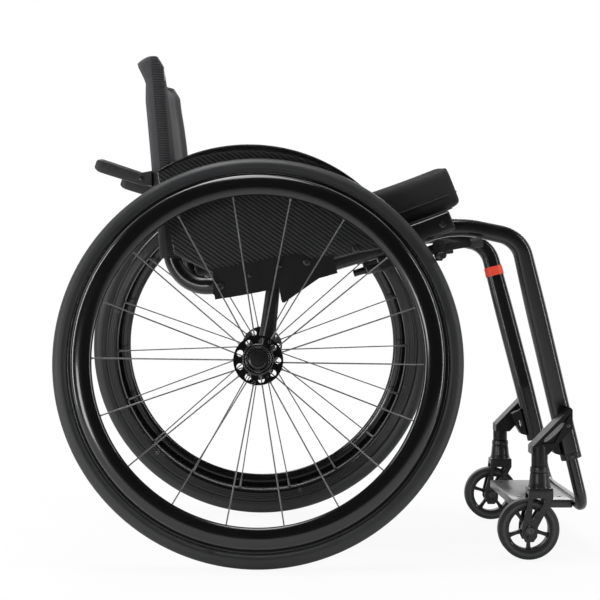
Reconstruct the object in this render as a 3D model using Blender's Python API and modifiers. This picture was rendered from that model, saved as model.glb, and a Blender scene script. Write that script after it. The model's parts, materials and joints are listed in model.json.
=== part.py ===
"""Active wheelchair with a rigid frame, cambered spoked wheels and a fold-down backrest.

Metres, +Z up, +X forward, +Y to the user's left.  The frame's origin is the middle of
the footprint at floor level.  Every piece is laid out from the floor point below the
rear axle, which the empty "axle_floor_point" carries to its place in that frame.
"""
import math

import bmesh
import bpy
from mathutils import Matrix, Quaternion, Vector

# General
CLEAR = 0.0003            # gap between pieces that touch or are bolted together
RUN = 0.0004              # running gap round an axle or a pin
LEFT, RIGHT = 1, -1

# Rear wheels
TYRE_R = 0.295            # 25-540 tyre, outside radius
TYRE_WIDTH = 0.025
TYRE_HEIGHT = 0.0217      # from the rim seat to the tread
CAMBER = math.radians(6)
WHEEL_CLEAR = 0.0382      # from the guard's outer face to the wheel's middle plane, at axle height
WHEEL_STEPS = 44
RIM_WIDTH = 0.021
RIM_DEPTH = 0.021
HANDRIM_DROP = 0.0243     # from the rim's seat in to the middle of the hoop's section
HANDRIM_TALL = 0.030
HANDRIM_THICK = 0.014
HANDRIM_OFFSET = 0.040    # outboard of the wheel's middle plane
HANDRIM_TABS = 6
TAB_R = 0.0035
SPOKES = 18
SPOKE_START = math.radians(18.9)
SPOKE_R = 0.0010
FLANGE_R = 0.0355
FLANGE_THICK = 0.005
FLANGE_OUT = 0.022        # inner face of the outboard flange, from the middle plane
FLANGE_IN = 0.019         # outer face of the inboard flange
INNER_FLANGE_R = 0.0205
HUB_BODY_R = 0.0145
HUB_INNER_END = 0.029
FLANGE_HOLES = 9
FLANGE_HOLE_R = 0.0047
FLANGE_HOLE_CIRCLE = 0.0277
CAP_R = 0.0226
CAP_END = 0.047           # outboard end of the hub cap
AXLE_PIN_R = 0.006
BUTTON_R = 0.0143
BUTTON_TRAVEL = 0.004
BUTTON_PROUD = 0.0015
PLUNGER_R = 0.003
PLUNGER_LONG = 0.0105     # of the plunger, inside the hollow axle
PIN_INNER = 0.070         # inner end of the axle pin, from the wheel's middle plane
PIN_OUTER = CAP_END - BUTTON_TRAVEL - 0.0115

# Seat rails: height is a gentle curve in x
RAIL_Y = 0.197
RAIL_WIDTH = 0.025
RAIL_TALL = 0.030
RAIL_Z = 0.4137           # height of the rail's middle, straight above the axle
RAIL_SLOPE = 0.2009
RAIL_CURVE = 0.3466
RAIL_REAR = -0.040
RAIL_FRONT = 0.280
RAIL_CAP = 0.003
RAIL_STOPS = 7

# Front frame tubes
TUBE_WIDTH = 0.024        # across the chair
TUBE_DEEP_TOP = 0.026     # fore and aft, at the seat
TUBE_DEEP_LOW = 0.031     # fore and aft, above the footrest
TUBE_REAR = 0.160
TUBE_TOP = (0.290, 0.4933)
TUBE_CORNER = (0.3862, 0.4729)
TUBE_LOW = (0.4466, 0.232)
TUBE_END = (0.4660, 0.152)
TUBE_LOW_Y = 0.155
TUBE_BEND = 0.044
TUBE_TOP_BEND = 0.14
TUBE_LOW_BEND = 0.12
TUBE_CORNER_R = 0.0105    # rounding of the section's corners
CROSS_TUBE_X = 0.205
CROSS_TUBE_R = 0.0125
BAND_TALL = 0.015
BAND_THICK = 0.0006
BAND_Z = 0.428

# Footrest
FOOT_TUBE_WIDE = 0.016
FOOT_TUBE_DEEP = 0.018
FOOT_INSERT = 0.050
FOOT_Z = 0.0705
FOOT_BEND = 0.024
FOOT_LIFT = 0.020         # how far it can be raised
PLATE_WIDE = 0.244
PLATE_LONG = 0.092
PLATE_THICK = 0.0125
CLAMP_TALL = 0.009

# Castors
CASTOR_R = 0.045
CASTOR_WIDTH = 0.024
CASTOR_TYRE = 0.0125
CASTOR_STEPS = 24
CASTOR_SPOKES = 5
CASTOR_SPOKE_WIDTH = 0.0062
CASTOR_HUB_R = 0.0105
CASTOR_BORE_R = 0.0042
STEER_X = 0.4125
ARM_FRONT = 0.4600
ARM_TOP = 0.2231
ARM_LOW = 0.1920
ARM_PAST = 0.0075         # beyond the steering axis, sideways
STEER_Y = 0.200
TRAIL = 0.0165
CROWN_GAP = 0.0056        # between the castor tyre and the crown above it
CROWN_TALL = 0.0104
FORK_FORE = 0.0178
FORK_AFT = 0.0182
FORK_SIDE = 0.0035        # thickness of a leg
FORK_GAP = 0.0015         # between tyre and leg
CUP_R = 0.0155
CUP_TALL = 0.0215
STEM_R = 0.005
BEARING_TALL = 0.0085
BEARING_R = 0.0135
HOUSING_R = 0.0118
HOUSING_TALL = 0.030

# Axle carrier
CAMBER_TUBE_R = 0.0175
AXLE_SPACE = 0.0022       # between the camber tube's end and the hub
CARRIER_WIDE = 0.024
CARRIER_DEEP = 0.031
CARRIER_TOP_X = 0.0165
CARRIER_FOOT_X = 0.0074
CARRIER_SLIM = 0.90       # depth at the foot, as a share of the depth at the top
CARRIER_EYE = 0.006       # wall round the camber tube
CHEEK = 0.003
SADDLE = 0.005            # web under the rail
BRACKET_REAR = -0.0666
BRACKET_FRONT = 0.1095
# Outline of the bracket's outer plate: x, and height from the rail's middle above the axle
BRACKET_FACE = ((BRACKET_REAR, 0.0120), (0.0554, 0.0353), (0.0771, 0.0272), (BRACKET_FRONT, 0.0330),
                (BRACKET_FRONT, 0.0113), (0.0956, 0.0045), (0.0375, -0.0362), (0.0340, -0.0362),
                (0.0300, -0.0147), (0.0103, -0.0177), (-0.0465, -0.0290), (-0.0610, -0.0298),
                (BRACKET_REAR, -0.0237))

# Side guards
GUARD_THICK = 0.002
GUARD_LEAN = 0.055        # inwards per metre of height above the rail
GUARD_BEHIND = 0.0147     # centre of the top edge's arc, behind the axle
GUARD_RISE = 0.0532       # and above it
GUARD_INSET = 0.0356      # by which the arc's radius is less than the tyre's
GUARD_ARC_FROM = math.radians(121.2)
GUARD_ARC_TO = math.radians(31)
GUARD_LIP = 0.021
GUARD_LIP_ENDS = 0.77     # share of the top edge, from the rear, at which the lip runs out
UNDER_BRACKET = 0.009     # by which the sheet's foot reaches below the bracket's top edge
# The sheet's lower edge: x, and height from the rail's middle above the axle
GUARD_FOOT = ((-0.1236, 0.0345), (-0.0842, 0.0141), (-0.0640, 0.0125 - UNDER_BRACKET),
              (0.0540, 0.0353 - UNDER_BRACKET), (0.0790, 0.0272 - UNDER_BRACKET), (0.1461, 0.0360),
              (0.1750, 0.0412), (0.1930, 0.0450), (0.2060, 0.0570))

# Backrest
BACK_TUBE_R = 0.0125
PIVOT_X, PIVOT_Z = -0.056, 0.402
PIVOT_PIN_R = 0.004
BOLT_HEAD_R = 0.006
BOLT_HEAD = 0.0024
BOLT_SEAT = 0.0007        # depth of the round seat sunk in the bracket for the bolt's head
POST_INSET = 0.0125       # from the rail's middle in to the post's
BACK_CORNER = (-0.1245, 0.3985)
BACK_BEND = 0.053
POST_MID = (-0.1390, 0.588)
POST_TOP = (-0.1515, 0.722)
RIGIDIZER_Z = 0.470
RIGIDIZER_R = 0.008
COVER_ROUND = 0.014       # from the post's middle out to the sleeve's side
COVER_LOW = 0.505
COVER_THIN = 0.011
COVER_BOW = 0.028
SLEEVE_LOW = 0.4424
SLEEVE_DEEP = 0.036       # fore and aft, below the panel
SLEEVE_AFT = 0.0190        # from the post's centre to the sleeve's rear, at the handles

# Height of each level of the upholstery, and its reach ahead of and behind the post's centre
COVER_LEVELS = ((0.505, 0.0185, 0.0185), (0.545, 0.0190, 0.0190), (0.5867, 0.0190, 0.0190),
                (0.6455, 0.0183, 0.0187), (0.6749, 0.0170, 0.0190), (0.7013, 0.0150, 0.0150),
                (0.7263, 0.0130, 0.0220), (0.7390, 0.0080, 0.0140))

# Push handles
HANDLE_Z = 0.5595
HANDLE_X = -0.1730
HANDLE_REACH = 0.068
HANDLE_RISE = math.radians(18)
HANDLE_WIDE = 0.015
HANDLE_TALL = 0.018
BRACKET_HALF = 0.014      # half the width of the handle's bracket

# Seat
SLING_THICK = 0.0025
SLING_FRONT = 0.298
CUSHION_INSET = 0.029     # from the rail's middle in to the cushion's side
CUSHION_REAR = -0.094
CUSHION_FRONT = 0.306
CUSHION_THICK = 0.058
CUSHION_CROWN = 0.006

# Wheel locks
SHOE_GAP = 0.0050         # from the tyre to the shoe's bar, with the lock off
SHOE_LEAN = math.radians(4)
BRAKE_LONG = 0.090
BRAKE_DEEP = 0.012
BRAKE_WIDE = 0.0085
BRAKE_DROP = 0.008        # from the rail's under side to the body
LEVER_THICK = 0.006
LEVER_REACH = 0.069
LEVER_PITCH = math.radians(7.5)
KNOB_R = 0.0072
SHOE_ARM = 0.016
SHOE_THICK = 0.0045
SHOE_ROD_R = 0.005
SHOE_PAST = 0.006         # end of its bar, past the wheel's middle plane
RIVET_R = 0.0021

for old in list(bpy.data.objects):
    bpy.data.objects.remove(old, do_unlink=True)

chair = bpy.data.collections.new("active_wheelchair")
cutters = bpy.data.collections.new("cutters")
bpy.context.scene.collection.children.link(chair)
bpy.context.scene.collection.children.link(cutters)

POST_Y = RAIL_Y - POST_INSET
COVER_HALF = POST_Y + COVER_ROUND
CUSHION_HALF = RAIL_Y - CUSHION_INSET
AXLE_Z = (TYRE_R - TYRE_WIDTH / 2) * math.cos(CAMBER) + TYRE_WIDTH / 2
CROWN_UNDER = 2 * CASTOR_R + CROWN_GAP
RIM_R = TYRE_R - TYRE_HEIGHT - CLEAR
HANDRIM_R = RIM_R + CLEAR - HANDRIM_DROP
CUP_TOP = CROWN_UNDER + CROWN_TALL + CUP_TALL
BEARING_FOOT = CUP_TOP + CLEAR
HOUSING_FOOT = BEARING_FOOT + BEARING_TALL + CLEAR
LEG_INNER = CASTOR_WIDTH / 2 + FORK_GAP
LEG_OUTER = LEG_INNER + FORK_SIDE


# Finishes

def finish(name, colour, roughness, metallic=0.0):
    material = bpy.data.materials.new(name)
    material.use_nodes = True
    shader = material.node_tree.nodes["Principled BSDF"]
    shader.inputs["Base Color"].default_value = (*colour, 1.0)
    shader.inputs["Roughness"].default_value = roughness
    shader.inputs["Metallic"].default_value = metallic
    material.diffuse_color = (*colour, 1.0)
    return material


GLOSS_BLACK = ((0.012, 0.012, 0.014), 0.15, 0.0)
SATIN_BLACK = ((0.022, 0.022, 0.024), 0.4, 0.0)
MATT_BLACK = ((0.03, 0.03, 0.032), 0.6, 0.0)
TYRE_GREY = ((0.035, 0.036, 0.04), 0.55, 0.0)
CARBON = ((0.02, 0.021, 0.023), 0.3, 0.0)
CLOTH = ((0.025, 0.025, 0.027), 0.85, 0.0)
STEEL = ((0.35, 0.35, 0.36), 0.3, 1.0)
BAND_RED = ((0.85, 0.08, 0.04), 0.4, 0.0)


# Places and helpers

def empty(name, location, parent=None, rotation=None):
    marker = bpy.data.objects.new(name, None)
    chair.objects.link(marker)
    marker.parent = parent
    marker.location = location
    if rotation is not None:
        marker.rotation_mode = 'QUATERNION'
        marker.rotation_quaternion = rotation.to_quaternion()
    return marker


def put(name, mesh, look=None, parent=None, collection=None):
    """A new object with its own finish, hung on a parent."""
    piece = bpy.data.objects.new(name, mesh)
    (collection or chair).objects.link(piece)
    piece.parent = parent or floor_point
    if look:
        mesh.materials.clear()
        mesh.materials.append(finish(name, *look))
    return piece


def tool(piece):
    """Makes a helper shape into a cutter that isn't part of the chair."""
    for home in list(piece.users_collection):
        home.objects.unlink(piece)
    cutters.objects.link(piece)
    piece.hide_render = True
    piece.display_type = 'WIRE'
    return piece


def combine(piece, other, operation='DIFFERENCE'):
    step = piece.modifiers.new(operation.lower(), 'BOOLEAN')
    step.operation = operation
    step.solver = 'EXACT'
    step.object = tool(other)
    return piece


def smooth(piece, degrees=38):
    piece.data.shade_smooth()
    piece.data.set_sharp_from_angle(angle=math.radians(degrees))
    return piece


def origin_at(piece, point):
    """Moves the object's origin to a point of its joint's axis, with its shape in place."""
    point = Vector(point)
    piece.data.transform(Matrix.Translation(-point))
    piece.location = point
    return piece


def skin(name, rings, look=None, parent=None, close=False):
    """A closed body through rings of points, with flat ends or joined end to end."""
    bm = bmesh.new()
    verts = [[bm.verts.new(p) for p in ring] for ring in rings]
    count = len(rings[0])
    pairs = list(zip(verts, verts[1:]))
    if close:
        pairs.append((verts[-1], verts[0]))
    for low, high in pairs:
        for k in range(count):
            n = (k + 1) % count
            bm.faces.new((low[k], low[n], high[n], high[k]))
    if not close:
        bm.faces.new(list(reversed(verts[0])))
        bm.faces.new(verts[-1])
    bmesh.ops.recalc_face_normals(bm, faces=bm.faces)
    mesh = bpy.data.meshes.new(name)
    bm.to_mesh(mesh)
    bm.free()
    return smooth(put(name, mesh, look, parent))


def oval(wide, tall, count=14):
    return [(wide / 2 * math.cos(2 * math.pi * k / count), tall / 2 * math.sin(2 * math.pi * k / count))
            for k in range(count)]


def round_box(wide, tall, radius, steps=2):
    corners = ((1, 1, 0), (-1, 1, 90), (-1, -1, 180), (1, -1, 270))
    points = []
    for sx, sy, start in corners:
        cx, cy = sx * (wide / 2 - radius), sy * (tall / 2 - radius)
        for k in range(steps + 1):
            angle = math.radians(start + 90 * k / steps)
            points.append((cx + radius * math.cos(angle), cy + radius * math.sin(angle)))
    return points


def bent(corners, radii, steps=6):
    """A route through corner points, each corner rounded to its radius, or plain where that is 0."""
    corners = [Vector(c) for c in corners]
    route = [corners[0]]
    for a, b, c, radius in zip(corners, corners[1:], corners[2:], radii):
        if not radius:
            route.append(b)
            continue
        to_a, to_c = (a - b).normalized(), (c - b).normalized()
        half = to_a.angle(to_c) / 2
        centre = b + (to_a + to_c).normalized() * (radius / math.sin(half))
        arm = b + to_a * (radius / math.tan(half)) - centre
        end = b + to_c * (radius / math.tan(half)) - centre
        axis, turn = arm.cross(end).normalized(), arm.angle(end)
        route += [centre + Quaternion(axis, turn * k / steps) @ arm for k in range(steps + 1)]
    return route + [corners[-1]]


def sweep(name, route, section, look=None, parent=None, grow=None):
    """Carries a section along a route; grow gives its width and depth factors along the length."""
    route = [Vector(p) for p in route]
    lengths = [0.0]
    for a, b in zip(route, route[1:]):
        lengths.append(lengths[-1] + (b - a).length)
    rings = []
    for k, point in enumerate(route):
        along = (route[min(k + 1, len(route) - 1)] - route[max(k - 1, 0)]).normalized()
        across = Vector((0, 1, 0))
        if abs(along.y) > 0.9:
            across = Vector((1, 0, 0))
        across = (across - along * across.dot(along)).normalized()
        up = along.cross(across)
        wide, deep = grow(lengths[k] / lengths[-1]) if grow else (1, 1)
        rings.append([point + across * (a * wide) + up * (b * deep) for a, b in section])
    return skin(name, rings, look, parent)


def turned(name, profile, steps, look=None, parent=None, loop=False):
    """Turns a profile of (radius, height) points round the local Z axis with a Screw modifier.

    A looped profile is put in the order that runs down its outer side, whose faces point outwards."""
    if loop:
        ends = zip(profile, profile[1:] + profile[:1])
        if sum(a[0] * b[1] - b[0] * a[1] for a, b in ends) > 0:
            profile = profile[::-1]
    mesh = bpy.data.meshes.new(name)
    edges = [(k, k + 1) for k in range(len(profile) - 1)]
    if loop:
        edges.append((len(profile) - 1, 0))
    mesh.from_pydata([(r, 0, z) for r, z in profile], edges, [])
    piece = put(name, mesh, look, parent)
    spin = piece.modifiers.new("turn", 'SCREW')
    spin.axis = 'Z'
    spin.angle = 2 * math.pi
    spin.steps = spin.render_steps = steps
    spin.use_merge_vertices = True
    spin.merge_threshold = 0.00001
    spin.use_smooth_shade = True
    return piece


def plate(name, outline, y_from, y_to, look=None, parent=None, holes=()):
    """A flat outline in x and z, cut from sheet between two sideways places."""
    curve = bpy.data.curves.new(name, 'CURVE')
    curve.dimensions = '2D'
    curve.fill_mode = 'BOTH'
    curve.extrude = abs(y_to - y_from) / 2
    for loop in (outline, *holes):
        spline = curve.splines.new('POLY')
        spline.points.add(len(loop) - 1)
        for point, (x, z) in zip(spline.points, loop):
            point.co = (x, z, 0, 1)
        spline.use_cyclic_u = True
    shape = bpy.data.objects.new(name, curve)
    chair.objects.link(shape)
    bpy.context.view_layer.update()
    mesh = bpy.data.meshes.new_from_object(shape.evaluated_get(bpy.context.evaluated_depsgraph_get()))
    mesh.name = name
    bpy.data.objects.remove(shape, do_unlink=True)
    bm = bmesh.new()
    bm.from_mesh(mesh)
    bmesh.ops.remove_doubles(bm, verts=bm.verts, dist=0.00001)
    bmesh.ops.recalc_face_normals(bm, faces=bm.faces)
    bm.to_mesh(mesh)
    bm.free()
    stand = Matrix.Translation((0, (y_from + y_to) / 2, 0)) @ Matrix.Rotation(math.radians(90), 4, 'X')
    mesh.transform(stand)
    return put(name, mesh, look, parent)


def rod(name, start, end, radius, count=12, look=None, parent=None):
    """A round bar between two points."""
    start, end = Vector(start), Vector(end)
    bm = bmesh.new()
    bmesh.ops.create_cone(bm, cap_ends=True, segments=count, radius1=radius, radius2=radius,
                          depth=(end - start).length)
    turn = (end - start).to_track_quat('Z', 'Y').to_matrix().to_4x4()
    bm.transform(Matrix.Translation((start + end) / 2) @ turn)
    mesh = bpy.data.meshes.new(name)
    bm.to_mesh(mesh)
    bm.free()
    return smooth(put(name, mesh, look, parent))


def block(name, low, high, look=None, parent=None, round_edge=0.0):
    """A box between two corners, its edges broken by a Bevel."""
    low, high = Vector(low), Vector(high)
    bm = bmesh.new()
    bmesh.ops.create_cube(bm, size=1)
    size = [abs(b - a) for a, b in zip(low, high)]
    bm.transform(Matrix.Translation((low + high) / 2) @ Matrix.Diagonal((*size, 1)))
    mesh = bpy.data.meshes.new(name)
    bm.to_mesh(mesh)
    bm.free()
    piece = put(name, mesh, look, parent)
    if round_edge:
        edge = piece.modifiers.new("edges", 'BEVEL')
        edge.width = round_edge
        edge.segments = 2
    return piece


def joined(name, pieces, parent=None):
    """Joins loose helper shapes into one, so that a single Boolean step uses them all."""
    bm = bmesh.new()
    for piece in pieces:
        bm.from_mesh(piece.data)
        bpy.data.objects.remove(piece, do_unlink=True)
    mesh = bpy.data.meshes.new(name)
    bm.to_mesh(mesh)
    bm.free()
    return put(name, mesh, parent=parent)


def along_line(p, q, t):
    return tuple(a + (b - a) * t for a, b in zip(p, q))


def rail_z(x):
    return RAIL_Z + RAIL_SLOPE * x + RAIL_CURVE * x * x


def rail_pitch(x):
    return math.atan(RAIL_SLOPE + 2 * RAIL_CURVE * x)


def rail_point(x, y, off):
    """A point above or below the rail's centre line, square to it."""
    pitch = rail_pitch(x)
    return Vector((x - off * math.sin(pitch), y, rail_z(x) + off * math.cos(pitch)))


def under_rail(x, y, down):
    return rail_point(x, y, -RAIL_TALL / 2 - CLEAR - down)


def rail_level(x, off):
    """Height, at a place in x, of the line that runs at a distance off the rail's centre line."""
    return rail_point(x + off * math.sin(rail_pitch(x)), 0, off).z


# Layers across the chair, from the rail outwards
rail_inner = RAIL_Y - RAIL_WIDTH / 2
rail_outer = RAIL_Y + RAIL_WIDTH / 2
guard_inner = rail_outer + CLEAR
guard_outer = guard_inner + GUARD_THICK
cheek_inner = guard_outer + CLEAR
cheek_outer = cheek_inner + CHEEK
tube_top_y = rail_inner - CLEAR - TUBE_WIDTH / 2
hub_y = guard_outer + WHEEL_CLEAR
camber_tube_half = hub_y - HUB_INNER_END * math.cos(CAMBER) - AXLE_SPACE
camber_tube_z = AXLE_Z - (hub_y - RAIL_Y) * math.tan(CAMBER)
guard_centre = (-GUARD_BEHIND, AXLE_Z + GUARD_RISE)
guard_r = TYRE_R - GUARD_INSET

slide_dir = (Vector((TUBE_END[0], 0, TUBE_END[1])) - Vector((TUBE_LOW[0], 0, TUBE_LOW[1]))).normalized()
foot_corner = Vector((TUBE_END[0], 0, TUBE_END[1])) + slide_dir * ((FOOT_Z - TUBE_END[1]) / slide_dir.z)
front_reach = foot_corner.x + FOOT_TUBE_DEEP / 2

floor_point = empty("axle_floor_point", ((TYRE_R - front_reach) / 2, 0, 0))


# Front frame tube: one hydroformed tube from under the seat down to the footrest

def front_route(side):
    corners = [(TUBE_REAR, tube_top_y, rail_z(TUBE_REAR) - 0.004), (TUBE_TOP[0], tube_top_y, TUBE_TOP[1]),
               (TUBE_CORNER[0], tube_top_y + 0.002, TUBE_CORNER[1]), (TUBE_LOW[0], TUBE_LOW_Y, TUBE_LOW[1]),
               (TUBE_END[0], TUBE_LOW_Y, TUBE_END[1])]
    return bent([(x, side * y, z) for x, y, z in corners], (TUBE_TOP_BEND, TUBE_BEND, TUBE_LOW_BEND), steps=4)


def tube_growth(t):
    """Slim under the seat, deepest in the leg, as the tube is blown into its mould."""
    swell = max(0.0, min(1.0, (t - 0.30) / 0.35))
    swell = swell * swell * (3 - 2 * swell)
    return 1.0, (TUBE_DEEP_TOP + (TUBE_DEEP_LOW - TUBE_DEEP_TOP) * swell) / TUBE_DEEP_LOW


def foot_leg(name, side, spare, top, bottom):
    """A straight length of the footrest's leg section, used as the leg's socket."""
    axis = Vector((0, side * TUBE_LOW_Y, 0)) + Vector((TUBE_END[0], 0, TUBE_END[1]))
    return sweep(name, [axis - slide_dir * top, axis + slide_dir * bottom],
                 oval(FOOT_TUBE_WIDE + 2 * spare, FOOT_TUBE_DEEP + 2 * spare, 16))


def front_tube(side, name):
    section = round_box(TUBE_WIDTH, TUBE_DEEP_LOW, TUBE_CORNER_R, 2)
    tube = sweep(name, front_route(side), section, GLOSS_BLACK, grow=tube_growth)
    socket = foot_leg(name + "_socket", side, RUN, FOOT_INSERT + FOOT_LIFT + 0.004, 0.01)
    return combine(tube, socket)


# Seat rails and what closes them

def seat_rail(side, name):
    """The rail, with a shallow groove before its closed front end."""
    xs = [RAIL_REAR + (RAIL_FRONT - RAIL_REAR) * k / RAIL_STOPS for k in range(RAIL_STOPS + 1)]
    stops = [(rail_point(x, side * RAIL_Y, 0), 1) for x in xs]
    ahead = Vector((math.cos(rail_pitch(RAIL_FRONT)), 0, math.sin(rail_pitch(RAIL_FRONT))))
    for past, size in ((0, 0.94), (0.0006, 0.94), (0.0006, 1), (RAIL_CAP * 0.6, 1), (RAIL_CAP, 0.93)):
        stops.append((stops[RAIL_STOPS][0] + ahead * (past + 0.00001 * len(stops)), size))
    rings = []
    for k, (place, size) in enumerate(stops):
        pitch = rail_pitch(xs[min(k, RAIL_STOPS)])
        up = Vector((-math.sin(pitch), 0, math.cos(pitch)))
        rings.append([place + Vector((0, a * size, 0)) + up * (b * size)
                      for a, b in round_box(RAIL_WIDTH, RAIL_TALL, 0.005, 1)])
    return skin(name, rings, GLOSS_BLACK)


# Axle bracket, its leg and the tube that sets the camber

def rail_strip(name, x_from, x_to, section, look=None, steps=6):
    """A strip that follows the rail; section gives (y, height off the rail's centre line)."""
    xs = [x_from + (x_to - x_from) * k / steps for k in range(steps + 1)]
    return skin(name, [[rail_point(x, y, off) for y, off in section] for x in xs], look)


def axle_bracket(side, name):
    under = -RAIL_TALL / 2 - CLEAR
    sole = under - SADDLE
    inner = rail_inner - CLEAR
    saddle = [(side * y, off) for y, off in (
        (inner - CHEEK, sole), (cheek_outer - 0.0002, sole), (cheek_outer - 0.0002, 0.006),
        (cheek_inner + 0.0002, 0.006), (cheek_inner + 0.0002, under), (inner, under), (inner, 0.006),
        (inner - CHEEK, 0.006))]
    bracket = rail_strip(name, BRACKET_REAR, BRACKET_FRONT, saddle, GLOSS_BLACK)
    face = [(x, RAIL_Z + rise) for x, rise in BRACKET_FACE]
    skirt = plate(name + "_face", face, side * cheek_inner, side * cheek_outer)
    combine(bracket, skirt, 'UNION')
    combine(bracket, rod(name + "_seat", (PIVOT_X, side * (cheek_outer - BOLT_SEAT), PIVOT_Z),
                         (PIVOT_X, side * (cheek_outer + 0.01), PIVOT_Z), BOLT_HEAD_R + 0.0012, 16))
    return combine(bracket, rod(name + "_hole", (PIVOT_X, side * (RAIL_Y - 0.03), PIVOT_Z),
                                (PIVOT_X, side * (RAIL_Y + 0.03), PIVOT_Z), PIVOT_PIN_R + CLEAR, 16))


def axle_carrier(side, name):
    """The leaning leg that hangs from the saddle and clamps the camber tube."""
    foot = Vector((CARRIER_FOOT_X, side * RAIL_Y, camber_tube_z))
    sole = -RAIL_TALL / 2 - 2 * CLEAR - SADDLE
    section = round_box(CARRIER_DEEP, CARRIER_WIDE, 0.008, 2)
    rings = []
    for t in (0, 0.5, 0.85, 1):
        middle = foot.lerp(Vector((CARRIER_TOP_X, side * RAIL_Y, 0)), t)
        slim = CARRIER_SLIM + (1 - CARRIER_SLIM) * t
        ring = []
        for a, b in section:
            x = middle.x + a * slim
            top = rail_level(x, sole)
            z = foot.z + (top - foot.z) * t
            ring.append((x, side * RAIL_Y + b, z))
        rings.append(ring)
    leg = skin(name, rings, GLOSS_BLACK)
    eye = rod(name + "_eye", (0, side * (RAIL_Y - 0.0135), camber_tube_z),
              (0, side * (RAIL_Y + 0.0135), camber_tube_z), CAMBER_TUBE_R + CARRIER_EYE, 20)
    combine(leg, eye, 'UNION')
    hole = rod(name + "_hole", (0, side * (RAIL_Y - 0.03), camber_tube_z),
               (0, side * (RAIL_Y + 0.03), camber_tube_z), CAMBER_TUBE_R + CLEAR, 20)
    return combine(leg, hole)


def camber_tube():
    tube = rod("camber_tube", (0, -camber_tube_half, camber_tube_z), (0, camber_tube_half, camber_tube_z),
               CAMBER_TUBE_R, 20, GLOSS_BLACK)
    for side in (LEFT, RIGHT):
        outward = Vector((0, side * math.cos(CAMBER), math.sin(CAMBER)))
        hub = Vector((0, side * hub_y, AXLE_Z))
        combine(tube, rod("axle_socket", hub - outward * (PIN_INNER + 0.002), hub, AXLE_PIN_R + RUN, 12))
    return tube


# Side guards: a moulded sheet that leans with the wheel and turns outwards over the tyre

def guard_sheet(side, name):
    low = [(x, RAIL_Z + rise) for x, rise in GUARD_FOOT]
    steps = 18

    def on_low(t):
        place = t * (len(low) - 1)
        k = min(int(place), len(low) - 2)
        return along_line(low[k], low[k + 1], place - k)

    def above_rail(x, z):
        return z - rail_level(x, RAIL_TALL / 2 + 0.004)

    def lean(x, z):
        return guard_inner + GUARD_THICK / 2 - GUARD_LEAN * max(0.0, above_rail(x, z))

    rows = []
    for k in range(steps + 1):
        t = k / steps
        angle = GUARD_ARC_FROM + (GUARD_ARC_TO - GUARD_ARC_FROM) * t
        lip = GUARD_LIP * math.sin(math.pi * min(1.0, t / GUARD_LIP_ENDS)) ** 0.8
        drop = 0.35 * lip
        top = (guard_centre[0] + (guard_r - drop) * math.cos(angle),
               guard_centre[1] + (guard_r - drop) * math.sin(angle))
        foot = on_low(t)
        row = []
        upright = max(0.05, min(0.95, -above_rail(*foot) / (top[1] - foot[1])))
        for v in (0, upright, 1):
            x, z = along_line(foot, top, v)
            row.append((x, side * lean(x, z), z))
        for turn in (30, 60, 90):
            out = math.radians(turn)
            radius = guard_r - drop + drop * math.sin(out)
            x = guard_centre[0] + radius * math.cos(angle)
            z = guard_centre[1] + radius * math.sin(angle)
            row.append((x, side * (lean(*top) + lip * (1 - math.cos(out))), z))
        rows.append(row)
    bm = bmesh.new()
    verts = [[bm.verts.new(p) for p in row] for row in rows]
    for a, b in zip(verts, verts[1:]):
        for k in range(len(a) - 1):
            bm.faces.new((a[k], b[k], b[k + 1], a[k + 1]) if side < 0 else (a[k + 1], b[k + 1], b[k], a[k]))
    mesh = bpy.data.meshes.new(name)
    bm.to_mesh(mesh)
    bm.free()
    guard = smooth(put(name, mesh, CARBON))
    wall = guard.modifiers.new("wall", 'SOLIDIFY')
    wall.thickness = GUARD_THICK
    wall.offset = 0
    wall.use_even_offset = False
    return guard


# Backrest: two bent tubes, a bar between them and the upholstery

def back_route(side):
    corners = [(PIVOT_X, RAIL_Y, PIVOT_Z), (BRACKET_REAR - 0.003, RAIL_Y, PIVOT_Z),
               (BACK_CORNER[0], POST_Y, BACK_CORNER[1]), (POST_MID[0], POST_Y, POST_MID[1]),
               (POST_TOP[0], POST_Y, POST_TOP[1])]
    return bent([(x, side * y, z) for x, y, z in corners], (0, BACK_BEND, 0), steps=5)


def back_tube(side, name):
    tube = sweep(name, back_route(side), oval(2 * BACK_TUBE_R, 2 * BACK_TUBE_R, 12), GLOSS_BLACK)
    knuckle = rod(name + "_knuckle", (PIVOT_X, side * (RAIL_Y - BACK_TUBE_R), PIVOT_Z),
                  (PIVOT_X, side * (RAIL_Y + BACK_TUBE_R), PIVOT_Z), BACK_TUBE_R, 16)
    combine(tube, knuckle, 'UNION')
    bore = rod(name + "_bore", (PIVOT_X, side * (RAIL_Y - 0.03), PIVOT_Z),
               (PIVOT_X, side * (RAIL_Y + 0.03), PIVOT_Z), PIVOT_PIN_R + RUN, 12)
    combine(tube, bore)
    return origin_at(tube, (PIVOT_X, side * RAIL_Y, PIVOT_Z))


post_line = [(BACK_CORNER[0] - 0.0035, SLEEVE_LOW), POST_MID, POST_TOP]


def post_x(z):
    """Fore and aft place of the back post's centre at a height."""
    low, mid, top = post_line
    a, b = (low, mid) if z < mid[1] else (mid, top)
    return a[0] + (b[0] - a[0]) * (z - a[1]) / (b[1] - a[1])


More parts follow.
